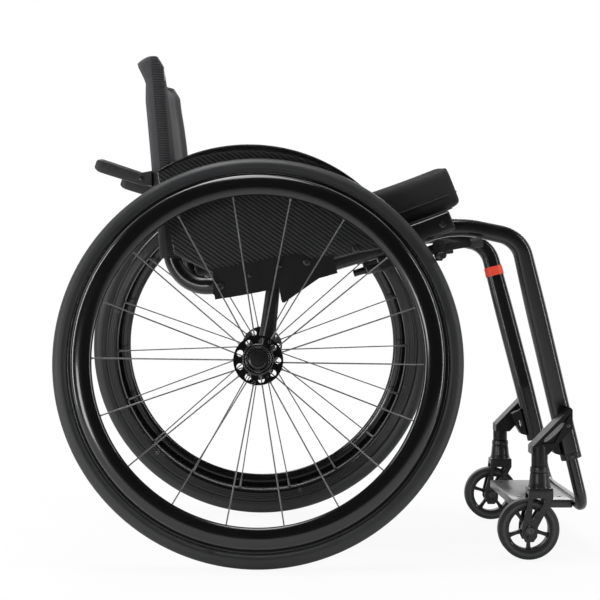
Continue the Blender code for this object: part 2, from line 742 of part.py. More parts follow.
def cover_ring(z, fore, aft):
    """One level of the upholstery: sleeves round the posts and a thin bowed panel between."""
    across = [math.cos(math.pi * k / 14) for k in range(15)]
    ring = []
    for sign, run in ((1, across), (-1, across[::-1][1:-1])):
        for u in run:
            spread = max(0.0, min(1.0, (abs(u) - 0.80) / 0.10))
            sleeve = spread * spread * (3 - 2 * spread)
            bow = COVER_BOW * (1 - u * u) * (1 - sleeve * 0.6)
            edge = math.sqrt(max(0.0, 1 - max(0.0, (abs(u) - 0.90) / 0.10) ** 2))
            front = fore * edge - bow
            thick = COVER_THIN + (fore + aft - COVER_THIN) * sleeve
            back = front - thick if sleeve < 1 else -aft * edge
            ring.append((post_x(z) + (front if sign > 0 else back), COVER_HALF * u, z))
    return ring


def back_cover():
    cover = skin("back_upholstery", [cover_ring(*level) for level in COVER_LEVELS], CLOTH)
    for side in (LEFT, RIGHT):
        levels = (SLEEVE_LOW, RIGIDIZER_Z, COVER_LOW + 0.005)
        sleeve = sweep("sleeve", [(post_x(z), side * POST_Y, z) for z in levels],
                       oval(2 * COVER_ROUND, SLEEVE_DEEP, 12))
        combine(cover, sleeve, 'UNION')
    for side in (LEFT, RIGHT):
        route = [p for p in back_route(side) if p.z > SLEEVE_LOW - 2 * BACK_TUBE_R]
        room = sweep("post_room", route, oval(*[2 * (BACK_TUBE_R + 2 * CLEAR)] * 2, 12))
        combine(cover, room)
    x = post_x(RIGIDIZER_Z)
    combine(cover, rod("bar_room", (x, -POST_Y, RIGIDIZER_Z), (x, POST_Y, RIGIDIZER_Z),
                       RIGIDIZER_R + CLEAR, 16))
    return origin_at(cover, (PIVOT_X, 0, PIVOT_Z))


def rigidizer():
    inner = POST_Y - BACK_TUBE_R - CLEAR
    x = post_x(RIGIDIZER_Z)
    bar = rod("back_cross_bar", (x, -inner, RIGIDIZER_Z), (x, inner, RIGIDIZER_Z),
              RIGIDIZER_R, 16, GLOSS_BLACK)
    return origin_at(bar, (PIVOT_X, 0, PIVOT_Z))


# Push handles: short bars on brackets behind the posts, which fold down

def handle_bracket(side, name):
    x = post_x(HANDLE_Z)
    half = BRACKET_HALF
    seat = x - SLEEVE_AFT - 3 * CLEAR
    ears = [(seat, HANDLE_Z + 0.011), (seat, HANDLE_Z - 0.011), (HANDLE_X, HANDLE_Z - 0.008),
            (HANDLE_X - 0.007, HANDLE_Z), (HANDLE_X, HANDLE_Z + 0.008)]
    piece = plate(name, ears, side * (POST_Y - half), side * (POST_Y + half), MATT_BLACK)
    slot = HANDLE_WIDE / 2 + RUN
    combine(piece, block(name + "_slot", (HANDLE_X - 0.02, side * POST_Y - slot, HANDLE_Z - 0.03),
                         (HANDLE_X + 0.0095, side * POST_Y + slot, HANDLE_Z + 0.03)))
    return origin_at(piece, (PIVOT_X, side * RAIL_Y, PIVOT_Z))


def push_handle(side, name):
    pivot = Vector((HANDLE_X, side * POST_Y, HANDLE_Z))
    back = Vector((-math.cos(HANDLE_RISE), 0, math.sin(HANDLE_RISE)))
    tip = HANDLE_REACH
    stops = [(-0.0075, 0.55), (-0.004, 0.9), (0.006, 1), (tip * 0.5, 0.92),
             (tip - 0.008, 1), (tip - 0.002, 0.8), (tip, 0.5)]
    up = Vector((math.sin(HANDLE_RISE), 0, math.cos(HANDLE_RISE)))
    rings = [[pivot + back * s + Vector((0, a, 0)) + up * (b * k)
              for a, b in round_box(HANDLE_WIDE, HANDLE_TALL, 0.005)] for s, k in stops]
    return origin_at(skin(name, rings, MATT_BLACK), pivot)


# Seat: the sling between the rails and the cushion on it

def sling():
    low = RAIL_TALL / 2 + CLEAR
    edge = rail_outer - 0.002
    section = [(-edge, low), (edge, low), (edge, low + SLING_THICK), (-edge, low + SLING_THICK)]
    return rail_strip("seat_sling", RAIL_REAR + 0.004, SLING_FRONT, section, CLOTH, 8)


def cushion():
    base = RAIL_TALL / 2 + 2 * CLEAR + SLING_THICK
    stations = 15
    rings = []
    for t in [k / stations for k in range(stations)] + [0.975, 1.0]:
        x = CUSHION_REAR + (CUSHION_FRONT - CUSHION_REAR) * t
        nose = max(0.0, (t - 0.975) / 0.025)
        tail = max(0.0, (0.06 - t) / 0.06)
        tall = CUSHION_THICK * (1 - 0.10 * nose ** 2 - 0.4 * tail ** 2)
        draw = 0.004 * math.sin(math.pi * t)
        half = CUSHION_HALF - 0.003 * (2 * t - 1) ** 6 - 0.006 * max(nose, tail) ** 4
        ring = []
        for a, h in ((1.0, 0.10), (1.0, 0.30), (0.985, 0.75), (0.93, 0.95), (0.6, 1.0), (0.2, 1.0),
                     (-0.2, 1.0), (-0.6, 1.0), (-0.93, 0.95), (-0.985, 0.75), (-1.0, 0.30), (-1.0, 0.10),
                     (-0.97, 0.0), (-0.5, 0.0), (0.0, 0.0), (0.5, 0.0), (0.97, 0.0)):
            side_draw = draw if 0 < h < 0.9 else 0
            crown = CUSHION_CROWN * (1 - a * a) * (1 - (2 * t - 1) ** 4) if h == 1.0 else 0
            ring.append(rail_point(x, (half - side_draw) * a, base + tall * h + crown))
        rings.append(ring)
    return skin("seat_cushion", rings, CLOTH)


# Castors

def castor_axis(side):
    return Vector((STEER_X - TRAIL, side * STEER_Y, CASTOR_R))


def castor_arm(side, name):
    """The bar from the frame tube to the steering head, with its recess and its rear web."""
    inner = TUBE_LOW_Y + TUBE_WIDTH / 2 + CLEAR
    outer = STEER_Y + ARM_PAST
    top = HOUSING_FOOT + HOUSING_TALL
    bar = [(STEER_X - HOUSING_R * 0.98, top - 0.001), (ARM_FRONT - 0.0026, ARM_TOP),
           (ARM_FRONT, ARM_TOP - 0.0031), (ARM_FRONT, ARM_LOW),
           (STEER_X + HOUSING_R * 0.98, top - 0.0125), (STEER_X - HOUSING_R * 0.98, top - 0.0125)]
    arm = plate(name, bar, side * inner, side * outer, GLOSS_BLACK)
    combine(arm, rod(name + "_head", (STEER_X, side * STEER_Y, HOUSING_FOOT), (STEER_X, side * STEER_Y, top),
                     HOUSING_R, 16), 'UNION')
    back = -(TUBE_DEEP_LOW / 2 + CLEAR)
    slope = Vector((-slide_dir.z, 0, slide_dir.x))
    end = Vector((TUBE_END[0], 0, TUBE_END[1]))

    def behind(up, off):
        point = end - slide_dir * up + slope * off
        return point.x, point.z

    web = [behind(0.001, back), behind(0.047, back), behind(0.043, back - 0.016), behind(0.030, back - 0.016),
           behind(0.006, back - 0.009)]
    combine(arm, plate(name + "_web", web, side * (TUBE_LOW_Y - 0.010), side * (inner + 0.004)), 'UNION')
    slot = [behind(0.016, back - 0.0035), behind(0.030, back - 0.0035), behind(0.030, back - 0.0075),
            behind(0.016, back - 0.0075)]
    combine(arm, plate(name + "_slot", slot, side * 0.13, side * 0.20))
    pocket = [along_line(bar[0], bar[3], 0.18), along_line(bar[1], bar[3], 0.25),
              along_line(bar[2], bar[4], 0.12), along_line(bar[4], bar[2], 0.25)]
    combine(arm, plate(name + "_recess", pocket, side * (outer - 0.004), side * (outer + 0.004)))
    bore = rod(name + "_bore", (STEER_X, side * STEER_Y, HOUSING_FOOT - 0.01),
               (STEER_X, side * STEER_Y, top - 0.005), STEM_R + RUN, 12)
    return combine(arm, bore)


def bearing_ring(side, name):
    """The lower bearing's cover between the fork's cup and the steering head."""
    ring = turned(name, [(STEM_R + RUN, BEARING_TALL), (BEARING_R, BEARING_TALL), (BEARING_R + 0.0005, 0.001),
                         (BEARING_R - 0.0005, 0), (STEM_R + RUN, 0)], 14, SATIN_BLACK, loop=True)
    ring.location = (STEER_X, side * STEER_Y, BEARING_FOOT)
    return ring


def castor_fork(side, name):
    """Cup and crown with two legs; each leg has a three-cornered window and the axle hole."""
    steer = Vector((STEER_X, side * STEER_Y, 0))
    crown = block(name, steer + Vector((-FORK_AFT, -LEG_OUTER, CROWN_UNDER)),
                  steer + Vector((FORK_FORE, LEG_OUTER, CROWN_UNDER + CROWN_TALL)),
                  SATIN_BLACK, round_edge=0.002)
    aft = -TRAIL
    fore = FORK_FORE - 0.0003
    leg = [(-FORK_AFT + 0.0003, CROWN_UNDER + 0.0052), (fore, CROWN_UNDER + 0.0052),
           (fore, CROWN_UNDER - 0.004), (aft + 0.0115, CASTOR_R + 0.004), (aft + 0.0105, CASTOR_R - 0.010),
           (aft + 0.005, CASTOR_R - 0.0175), (aft - 0.007, CASTOR_R - 0.0175),
           (aft - 0.0120, CASTOR_R - 0.006), (aft - 0.0115, CASTOR_R + 0.006),
           (-FORK_AFT - 0.001, CROWN_UNDER - 0.008)]
    window = [(-0.0105, CROWN_UNDER - 0.0045), (0.0050, CROWN_UNDER - 0.0045), (0.0062, CROWN_UNDER - 0.0065),
              (-0.0085, CASTOR_R + 0.0170), (-0.0120, CASTOR_R + 0.0160), (-0.0140, CASTOR_R + 0.0180),
              (-0.0118, CROWN_UNDER - 0.0065)]
    for way in (-1, 1):
        near, far = way * LEG_INNER, way * LEG_OUTER
        limb = plate(name + "_leg", [(STEER_X + x, z) for x, z in leg],
                     steer.y + near, steer.y + far - way * 0.0002,
                     holes=[[(STEER_X + x, z) for x, z in window]])
        combine(crown, limb, 'UNION')
    cup = rod(name + "_cup", steer + Vector((0, 0, CROWN_UNDER + 0.003)), steer + Vector((0, 0, CUP_TOP)),
              CUP_R, 16)
    for vert in cup.data.vertices:
        if vert.co.z > CUP_TOP - 0.001:
            vert.co.x = STEER_X + (vert.co.x - STEER_X) * 0.87
            vert.co.y = steer.y + (vert.co.y - steer.y) * 0.87
    combine(crown, cup, 'UNION')
    combine(crown, rod(name + "_stem", steer + Vector((0, 0, CUP_TOP - 0.004)),
                       steer + Vector((0, 0, HOUSING_FOOT + HOUSING_TALL - 0.008)), STEM_R, 10), 'UNION')
    hub = castor_axis(side)
    reach = Vector((0, LEG_OUTER + 0.005, 0))
    combine(crown, rod(name + "_axle_hole", hub - reach, hub + reach, CASTOR_BORE_R, 10))
    lower = Vector((-0.0035, 0, -0.0105))
    combine(crown, rod(name + "_low_hole", hub + lower - reach, hub + lower + reach, 0.0021, 8))
    return origin_at(crown, steer)


def castor_rim(side, name):
    """Moulded wheel centre: five waisted spokes between a hub and a barrel."""
    barrel = CASTOR_R - CASTOR_TYRE
    hole_out, hole_in = barrel - 0.0035, CASTOR_HUB_R + 0.0025
    windows = []
    for k in range(CASTOR_SPOKES):
        middle = math.radians(90 * side + 360 / CASTOR_SPOKES * (k + 0.5))
        loop = []
        for radius, steps in ((hole_out, 4), (hole_in, 2)):
            spread = math.pi / CASTOR_SPOKES - math.asin(CASTOR_SPOKE_WIDTH / 2 / radius)
            for n in range(steps):
                angle = middle + spread * (2 * n / (steps - 1) - 1) * (1 if radius == hole_out else -1)
                loop.append((radius * math.cos(angle), radius * math.sin(angle)))
        windows.append(loop)
    web_r = barrel - 0.0014
    face = oval(2 * web_r, 2 * web_r, CASTOR_STEPS)
    rim = plate(name, face, -0.0045, 0.0045, SATIN_BLACK, castor_hubs[side], holes=windows)
    wall = [(barrel, 0.0095), (barrel, -0.0095), (barrel - 0.0028, -0.0095), (barrel - 0.0028, 0.0095)]
    flange = turned(name + "_barrel", wall, CASTOR_STEPS, parent=castor_hubs[side], loop=True)
    flange.rotation_euler.x = math.radians(-90)
    combine(rim, flange, 'UNION')
    combine(rim, rod(name + "_hub", (0, -0.0115, 0), (0, 0.0115, 0), CASTOR_HUB_R, 10,
                     parent=castor_hubs[side]), 'UNION')
    return combine(rim, rod(name + "_bore", (0, -0.03, 0), (0, 0.03, 0), CASTOR_BORE_R + RUN, 10,
                            parent=castor_hubs[side]))


def castor_tyre(side, name):
    seat = (CASTOR_R - CASTOR_TYRE + CLEAR) / math.cos(math.pi / CASTOR_STEPS)
    half = CASTOR_WIDTH / 2
    crown = [(CASTOR_R - 0.006 + 0.006 * math.cos(a), (half - 0.006) * s + 0.006 * math.sin(a))
             for s, a in ((1, math.radians(85)), (1, math.radians(40)), (1, 0.1),
                          (-1, -0.1), (-1, math.radians(-40)), (-1, math.radians(-85)))]
    profile = [(seat, 0.0100)] + crown + [(seat, -0.0100)]
    tyre = turned(name, profile, CASTOR_STEPS, TYRE_GREY, castor_hubs[side], loop=True)
    tyre.rotation_euler.x = math.radians(-90)
    return tyre


def castor_axle(side, name):
    """Bolt through the fork legs and the wheel, with a head on each side."""
    hub = castor_axis(side)
    half = LEG_OUTER + CLEAR
    profile = [(0, half + 0.0022), (0.0062, half + 0.0022), (0.0065, half), (CASTOR_BORE_R - CLEAR, half),
               (CASTOR_BORE_R - CLEAR, -half), (0.0065, -half), (0.0062, -half - 0.0022), (0, -half - 0.0022)]
    bolt = turned(name, profile, 12, STEEL)
    bolt.rotation_euler.x = math.radians(-90)
    bolt.location = hub
    return bolt


# Footrest

def footrest_tube():
    side_top = Vector((TUBE_END[0], 0, TUBE_END[1])) - slide_dir * FOOT_INSERT
    corners = [(side_top.x, -TUBE_LOW_Y, side_top.z), (foot_corner.x, -TUBE_LOW_Y, foot_corner.z),
               (foot_corner.x, TUBE_LOW_Y, foot_corner.z), (side_top.x, TUBE_LOW_Y, side_top.z)]
    route = bent(corners, (FOOT_BEND, FOOT_BEND), steps=4)
    forward = Vector((-slide_dir.z, 0, slide_dir.x))
    rings = []
    for k, point in enumerate(route):
        along = (route[min(k + 1, len(route) - 1)] - route[max(k - 1, 0)]).normalized()
        across = forward.cross(along).normalized()
        rings.append([point + across * a + forward * b for a, b in oval(FOOT_TUBE_WIDE, FOOT_TUBE_DEEP, 14)])
    return skin("footrest_tube", rings, GLOSS_BLACK)


def footplate():
    front = foot_corner.x - FOOT_TUBE_DEEP / 2 - CLEAR
    piece = block("footplate", (front - PLATE_LONG, -PLATE_WIDE / 2, FOOT_Z - PLATE_THICK / 2),
                  (front, PLATE_WIDE / 2, FOOT_Z + PLATE_THICK / 2), SATIN_BLACK)
    edge = piece.modifiers.new("edges", 'BEVEL')
    edge.width = 0.002
    edge.segments = 2
    return piece


def foot_clamp(side, name):
    """Ring that closes the frame tube's end on the footrest's leg."""
    start = Vector((TUBE_END[0], side * TUBE_LOW_Y, TUBE_END[1])) + slide_dir * CLEAR
    stop = start + slide_dir * CLAMP_TALL
    across, forward = Vector((0, 1, 0)), Vector((-slide_dir.z, 0, slide_dir.x))
    outside = round_box(TUBE_WIDTH, TUBE_DEEP_LOW, TUBE_CORNER_R, 3)
    inside = round_box(FOOT_TUBE_WIDE + 2 * RUN, FOOT_TUBE_DEEP + 2 * RUN, FOOT_TUBE_WIDE / 2, 3)
    return skin(name, [[at + across * a + forward * b for a, b in shape] for shape, at in
                       ((outside, start), (outside, stop), (inside, stop), (inside, start))],
                SATIN_BLACK, close=True)


# Wheel locks: a body under the rail, a lever on its inner side and a shoe on its outer side

brake_y = RAIL_Y - 0.001
brake_down = BRAKE_DROP + BRAKE_DEEP / 2


def shoe_places(pivot_x):
    """Pivot of the shoe's arm and, below it, the middle of the shoe's bar."""
    pivot = under_rail(pivot_x - 0.003, 0, brake_down - 0.002)
    return pivot, pivot + Vector((SHOE_ARM * math.sin(SHOE_LEAN), 0, -SHOE_ARM * math.cos(SHOE_LEAN)))


def brake_reach():
    """Place in x of the lock's front end, at which the bar clears the tyre by its gap."""
    x = TYRE_R
    for _ in range(12):
        bar = shoe_places(x)[1]
        x += math.sqrt((TYRE_R + SHOE_ROD_R + SHOE_GAP) ** 2 - (bar.z - AXLE_Z) ** 2) - bar.x
    return x


brake_pivot_x = brake_reach()
brake_rear = brake_pivot_x - BRAKE_LONG
lever_centre = under_rail(brake_pivot_x - 0.010, 0, brake_down)
lever_pivot = (lever_centre.x, lever_centre.z)
shoe_centre, shoe_bar = shoe_places(brake_pivot_x)
shoe_pivot = (shoe_centre.x, shoe_centre.z)


def brake_body(side, name):
    xs = [brake_rear + (brake_pivot_x - brake_rear) * k / 4 for k in range(5)]
    body = sweep(name, [under_rail(x, side * brake_y, brake_down) for x in xs],
                 round_box(BRAKE_WIDE, BRAKE_DEEP, 0.003, 1), SATIN_BLACK)
    clamp_xs = (brake_rear + 0.002, brake_rear + 0.019, brake_rear + 0.037)
    clamp = sweep(name + "_clamp", [under_rail(x, side * brake_y, 0.0105) for x in clamp_xs],
                  round_box(0.022, 0.0210, 0.003, 1))
    combine(body, clamp, 'UNION')
    foot_xs = (brake_pivot_x - 0.040, brake_pivot_x - 0.026)
    ahead = sweep(name + "_foot", [under_rail(x, side * brake_y, 0.0055) for x in foot_xs],
                  round_box(0.016, 0.011, 0.002, 1))
    combine(body, ahead, 'UNION')
    stub_xs = (brake_rear - 0.0165, brake_rear + 0.006)
    stub = sweep(name + "_stub", [under_rail(x, side * brake_y, 0.0135) for x in stub_xs],
                 oval(0.012, 0.012, 8))
    combine(body, stub, 'UNION')
    reach = BRAKE_WIDE / 2 + CLEAR
    for pivot, end in ((lever_pivot, -reach - LEVER_THICK - 0.0005),
                       (shoe_pivot, reach + SHOE_THICK + 0.0005)):
        rivet = rod(name + "_rivet", (pivot[0], side * brake_y, pivot[1]),
                    (pivot[0], side * (brake_y + end), pivot[1]), RIVET_R, 8)
        combine(body, rivet, 'UNION')
    return body


# Rear wheels, modelled round the local Z axis, which points outboard along the axle

def wheel_tyre(side, name):
    seat = TYRE_R - TYRE_HEIGHT
    half = TYRE_WIDTH / 2
    bulge = [(TYRE_R - half + half * math.cos(a), half * math.sin(a)) for a in
             [math.radians(d) for d in (90, 36, 0, -36, -90)]]
    profile = [(seat, half - 0.0028)] + bulge + [(seat, -half + 0.0028)]
    return turned(name, profile, WHEEL_STEPS, TYRE_GREY, wheel_hubs[side], loop=True)


def wheel_rim(side, name):
    """Deep-section rim: flat outer seat, straight sides and a narrower inner wall."""
    top = RIM_R
    half = RIM_WIDTH / 2
    right = [(top, half), (top - 0.016, half), (top - RIM_DEPTH, half - 0.006)]
    profile = right + [(r, -z) for r, z in reversed(right)]
    return turned(name, profile, WHEEL_STEPS, GLOSS_BLACK, wheel_hubs[side], loop=True)


def handrim(side, name):
    """Flattened hand hoop on six short posts that stand on the rim's side."""
    count = 8
    profile = [(HANDRIM_R + HANDRIM_TALL / 2 * math.cos(2 * math.pi * k / count),
                HANDRIM_OFFSET + HANDRIM_THICK / 2 * math.sin(2 * math.pi * k / count)) for k in range(count)]
    hoop = turned(name, profile, WHEEL_STEPS, GLOSS_BLACK, wheel_hubs[side], loop=True)
    post_r = RIM_R - 0.0125
    for k in range(HANDRIM_TABS):
        angle = 2 * math.pi * (k + 0.25) / HANDRIM_TABS
        x, y = post_r * math.cos(angle), post_r * math.sin(angle)
        post = rod(name + "_post", (x, y, RIM_WIDTH / 2 + CLEAR), (x, y, HANDRIM_OFFSET), TAB_R, 4,
                   parent=wheel_hubs[side])
        combine(hoop, post, 'UNION')
    return hoop


def spoke_wires(side, name):
    """Radial spokes, by turns from the outboard flange and from the inboard one."""
    rim_inner = (RIM_R - RIM_DEPTH) * math.cos(math.pi / WHEEL_STEPS) - CLEAR
    wires = []
    for k in range(SPOKES):
        angle = 2 * math.pi * k / SPOKES + SPOKE_START
        out = k % 2 == 0
        radius = (FLANGE_R if out else INNER_FLANGE_R) - 0.002
        height = FLANGE_OUT + FLANGE_THICK / 2 if out else -FLANGE_IN - FLANGE_THICK / 2
        around = Vector((math.cos(angle), math.sin(angle), 0))
        wires.append(rod("spoke", around * radius + Vector((0, 0, height)),
                         around * rim_inner + Vector((0, 0, height * 0.06)), SPOKE_R, 4,
                         parent=wheel_hubs[side]))
    return joined(name, wires, wheel_hubs[side])


def wheel_hub(side, name):
    """Turned hub shell with two flanges, the outboard one drilled, the axle end's cap and the spokes."""
    bore = AXLE_PIN_R + RUN
    well = BUTTON_R + RUN
    profile = [(well, CAP_END), (CAP_R - 0.0012, CAP_END), (CAP_R, CAP_END - 0.0012),
               (CAP_R, FLANGE_OUT + FLANGE_THICK + 0.0005), (FLANGE_R, FLANGE_OUT + FLANGE_THICK),
               (FLANGE_R, FLANGE_OUT), (HUB_BODY_R, FLANGE_OUT - 0.001),
               (HUB_BODY_R, -FLANGE_IN + 0.001), (INNER_FLANGE_R, -FLANGE_IN),
               (INNER_FLANGE_R, -FLANGE_IN - FLANGE_THICK), (HUB_BODY_R, -FLANGE_IN - FLANGE_THICK),
               (HUB_BODY_R - 0.001, -HUB_INNER_END), (bore, -HUB_INNER_END), (bore, PIN_OUTER),
               (well, PIN_OUTER)]
    hub = turned(name, profile, 18, GLOSS_BLACK, wheel_hubs[side], loop=True)
    for k in range(FLANGE_HOLES):
        angle = SPOKE_START + 2 * math.pi * (k + 0.5) / FLANGE_HOLES
        x, y = FLANGE_HOLE_CIRCLE * math.cos(angle), FLANGE_HOLE_CIRCLE * math.sin(angle)
        combine(hub, rod(name + "_hole", (x, y, FLANGE_OUT - 0.003),
                         (x, y, FLANGE_OUT + FLANGE_THICK + 0.003), FLANGE_HOLE_R, 6,
                         parent=wheel_hubs[side]))
    return combine(hub, spoke_wires(side, name + "_spokes"), 'UNION')


def axle_pin(side, name):
    """Quick-release axle: it stays in the camber tube and the hub turns on it."""
    stem = PLUNGER_R + RUN
    deep = BUTTON_TRAVEL + PLUNGER_LONG + 0.0015
    profile = [(0, PIN_OUTER - deep), (stem, PIN_OUTER - deep), (stem, PIN_OUTER), (AXLE_PIN_R, PIN_OUTER),
               (AXLE_PIN_R, -PIN_INNER + 0.001), (AXLE_PIN_R - 0.001, -PIN_INNER), (0, -PIN_INNER)]
    return turned(name, profile, 12, STEEL, wheel_hubs[side])


def axle_button(side, name):
    """Release button: a domed disc in the hub cap, with a plunger in the hollow axle."""
    back = PIN_OUTER + BUTTON_TRAVEL + CLEAR
    front = CAP_END + BUTTON_PROUD
    profile = [(0, front), (BUTTON_R * 0.7, front - 0.0005), (BUTTON_R, front - 0.0025), (BUTTON_R, back),
               (PLUNGER_R, back), (PLUNGER_R, back - PLUNGER_LONG), (0, back - PLUNGER_LONG)]
    return turned(name, profile, 16, SATIN_BLACK, wheel_hubs[side])


# Frame details

def cross_tube():
    z = rail_z(CROSS_TUBE_X) - 0.002
    half = tube_top_y - TUBE_WIDTH / 2 - CLEAR
    return rod("seat_cross_tube", (CROSS_TUBE_X, -half, z), (CROSS_TUBE_X, half, z),
               CROSS_TUBE_R, 20, GLOSS_BLACK)


def tube_band():
    """The coloured sleeve round the left frame tube, just below its bend."""
    route = front_route(LEFT)
    band_top, band_low = BAND_Z + BAND_TALL / 2, BAND_Z - BAND_TALL / 2
    leg = next((a, b) for a, b in zip(route, route[1:]) if a.z > band_top > band_low > b.z)
    down = (leg[1] - leg[0]).normalized()
    start = leg[0] + down * ((band_top - leg[0].z) / down.z)
    stop = start + down * BAND_TALL
    across = (Vector((0, 1, 0)) - down * down.y).normalized()
    up = down.cross(across)
    lengths = [(b - a).length for a, b in zip(route, route[1:])]
    travelled = sum(lengths[:route.index(leg[0])]) + (start - leg[0]).length
    deep = tube_growth(travelled / sum(lengths))[1]
    tall = TUBE_DEEP_LOW * deep + 2 * CLEAR
    wide = TUBE_WIDTH + 2 * CLEAR
    inside = round_box(wide, tall, TUBE_CORNER_R, 2)
    outside = round_box(wide + 2 * BAND_THICK, tall + 2 * BAND_THICK, TUBE_CORNER_R + CLEAR, 2)
    return skin("accent_band", [[at + across * a + up * b for a, b in shape] for shape, at in
                                ((outside, start), (outside, stop), (inside, stop), (inside, start))],
                BAND_RED, close=True)


def pivot_bolt(side, name):
    """The backrest's pivot bolt: its head on the bracket's face, its shank in the tube's knuckle."""
    foot = rail_inner + CLEAR - RAIL_Y
    face = cheek_outer - BOLT_SEAT + CLEAR - RAIL_Y
    profile = [(0, face + BOLT_HEAD), (BOLT_HEAD_R - 0.001, face + BOLT_HEAD),
               (BOLT_HEAD_R, face + BOLT_HEAD - 0.001), (BOLT_HEAD_R, face),
               (PIVOT_PIN_R, face), (PIVOT_PIN_R, foot), (0, foot)]
    bolt = turned(name, profile, 14, STEEL)
    bolt.rotation_euler.x = math.radians(-90 * side)
    bolt.location = (PIVOT_X, side * RAIL_Y, PIVOT_Z)
    return bolt


# The moving pieces of the wheel locks

def brake_lever(side, name):
    """Lever on the inner side of the lock's body, with a round grip at its front end."""
    near = brake_y - BRAKE_WIDE / 2 - CLEAR
    far = near - LEVER_THICK
    px, pz = lever_pivot

    def at(along, up):
        x = px + along * math.cos(LEVER_PITCH) - up * math.sin(LEVER_PITCH)
        return x, pz + along * math.sin(LEVER_PITCH) + up * math.cos(LEVER_PITCH)

    outline = [at(-0.006, -0.004), at(-0.004, 0.005), at(0.012, 0.0058), at(LEVER_REACH - 0.010, 0.0035),
               at(LEVER_REACH, 0.003), at(LEVER_REACH, -0.003), at(LEVER_REACH - 0.010, -0.0045),
               at(0.012, -0.0062), at(0, -0.0062)]
    lever = plate(name, outline, side * near, side * far, SATIN_BLACK)
    middle = side * (brake_y - 0.0035)
    ax, az = at(LEVER_REACH - 0.014, 0)
    bx, bz = at(LEVER_REACH + 0.004, 0)
    combine(lever, rod(name + "_grip", (ax, middle, az), (bx, middle, bz), KNOB_R, 14), 'UNION')
    hole = rod(name + "_hole", (px, side * (far - 0.01), pz), (px, side * (near + 0.01), pz),
               RIVET_R + RUN, 8)
    combine(lever, hole)
    return origin_at(lever, (px, side * brake_y, pz))


def brake_shoe(side, name):
    """Arm on the outer side of the lock's body, with the round bar that bears on the tyre."""
    near = brake_y + BRAKE_WIDE / 2 + CLEAR
    far = near + SHOE_THICK
    px, pz = shoe_pivot
    bx, bz = shoe_bar.x, shoe_bar.z
    outline = [(px - 0.0085, pz - 0.004), (px - 0.0085, pz + 0.004), (px - 0.004, pz + 0.0075),
               (px + 0.006, pz + 0.0075), (px + 0.0095, pz + 0.004), (px + 0.0095, pz - 0.006),
               (bx + 0.0075, bz), (bx + 0.004, bz - 0.007), (bx - 0.004, bz - 0.007), (bx - 0.0075, bz)]
    shoe = plate(name, outline, side * near, side * far, SATIN_BLACK)
    combine(shoe, rod(name + "_bar", (bx, side * (near + 0.001), bz), (bx, side * (hub_y + SHOE_PAST), bz),
                      SHOE_ROD_R, 14), 'UNION')
    hole = rod(name + "_hole", (px, side * (near - 0.01), pz), (px, side * (far + 0.01), pz),
               RIVET_R + RUN, 8)
    combine(shoe, hole)
    return origin_at(shoe, (px, side * brake_y, pz))


# Assembly

wheel_hubs, castor_hubs = {}, {}
for side, word in ((RIGHT, "right"), (LEFT, "left")):
    outward = Vector((0, side * math.cos(CAMBER), math.sin(CAMBER)))
    ahead = Vector((1, 0, 0))
    lie = Matrix((ahead, outward.cross(ahead), outward)).transposed()
    wheel_hubs[side] = empty(f"rear_wheel_{word}_axis", (0, side * hub_y, AXLE_Z), floor_point, lie)
    castor_hubs[side] = empty(f"castor_wheel_{word}_axis", castor_axis(side), floor_point)
    front_tube(side, f"front_tube_{word}")
    seat_rail(side, f"seat_rail_{word}")
    axle_bracket(side, f"axle_bracket_{word}")
    axle_carrier(side, f"axle_carrier_{word}")
    guard_sheet(side, f"side_guard_{word}")
    back_tube(side, f"back_tube_{word}")
    pivot_bolt(side, f"backrest_bolt_{word}")
    handle_bracket(side, f"handle_bracket_{word}")
    push_handle(side, f"push_handle_{word}")
    foot_clamp(side, f"footrest_clamp_{word}")
    castor_arm(side, f"castor_arm_{word}")
    bearing_ring(side, f"castor_bearing_{word}")
    castor_fork(side, f"castor_fork_{word}")
    castor_rim(side, f"castor_rim_{word}")
    castor_tyre(side, f"castor_tyre_{word}")
    castor_axle(side, f"castor_axle_{word}")
    brake_body(side, f"brake_body_{word}")
    brake_lever(side, f"brake_lever_{word}")
    brake_shoe(side, f"brake_shoe_{word}")
    wheel_tyre(side, f"rear_tyre_{word}")
    wheel_rim(side, f"rear_rim_{word}")
    handrim(side, f"handrim_{word}")
    wheel_hub(side, f"spoked_hub_{word}")
    axle_pin(side, f"axle_pin_{word}")
    axle_button(side, f"axle_button_{word}")
camber_tube()
cross_tube()
tube_band()
sling()
cushion()
back_cover()
rigidizer()
footrest_tube()
footplate()
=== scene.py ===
"""Active wheelchair: the finish of every piece, its cloth, and its studio.

Metres, +Z up, +X forward, +Y to the user's left, as in the frame that this script loads.
"""

import json
import math

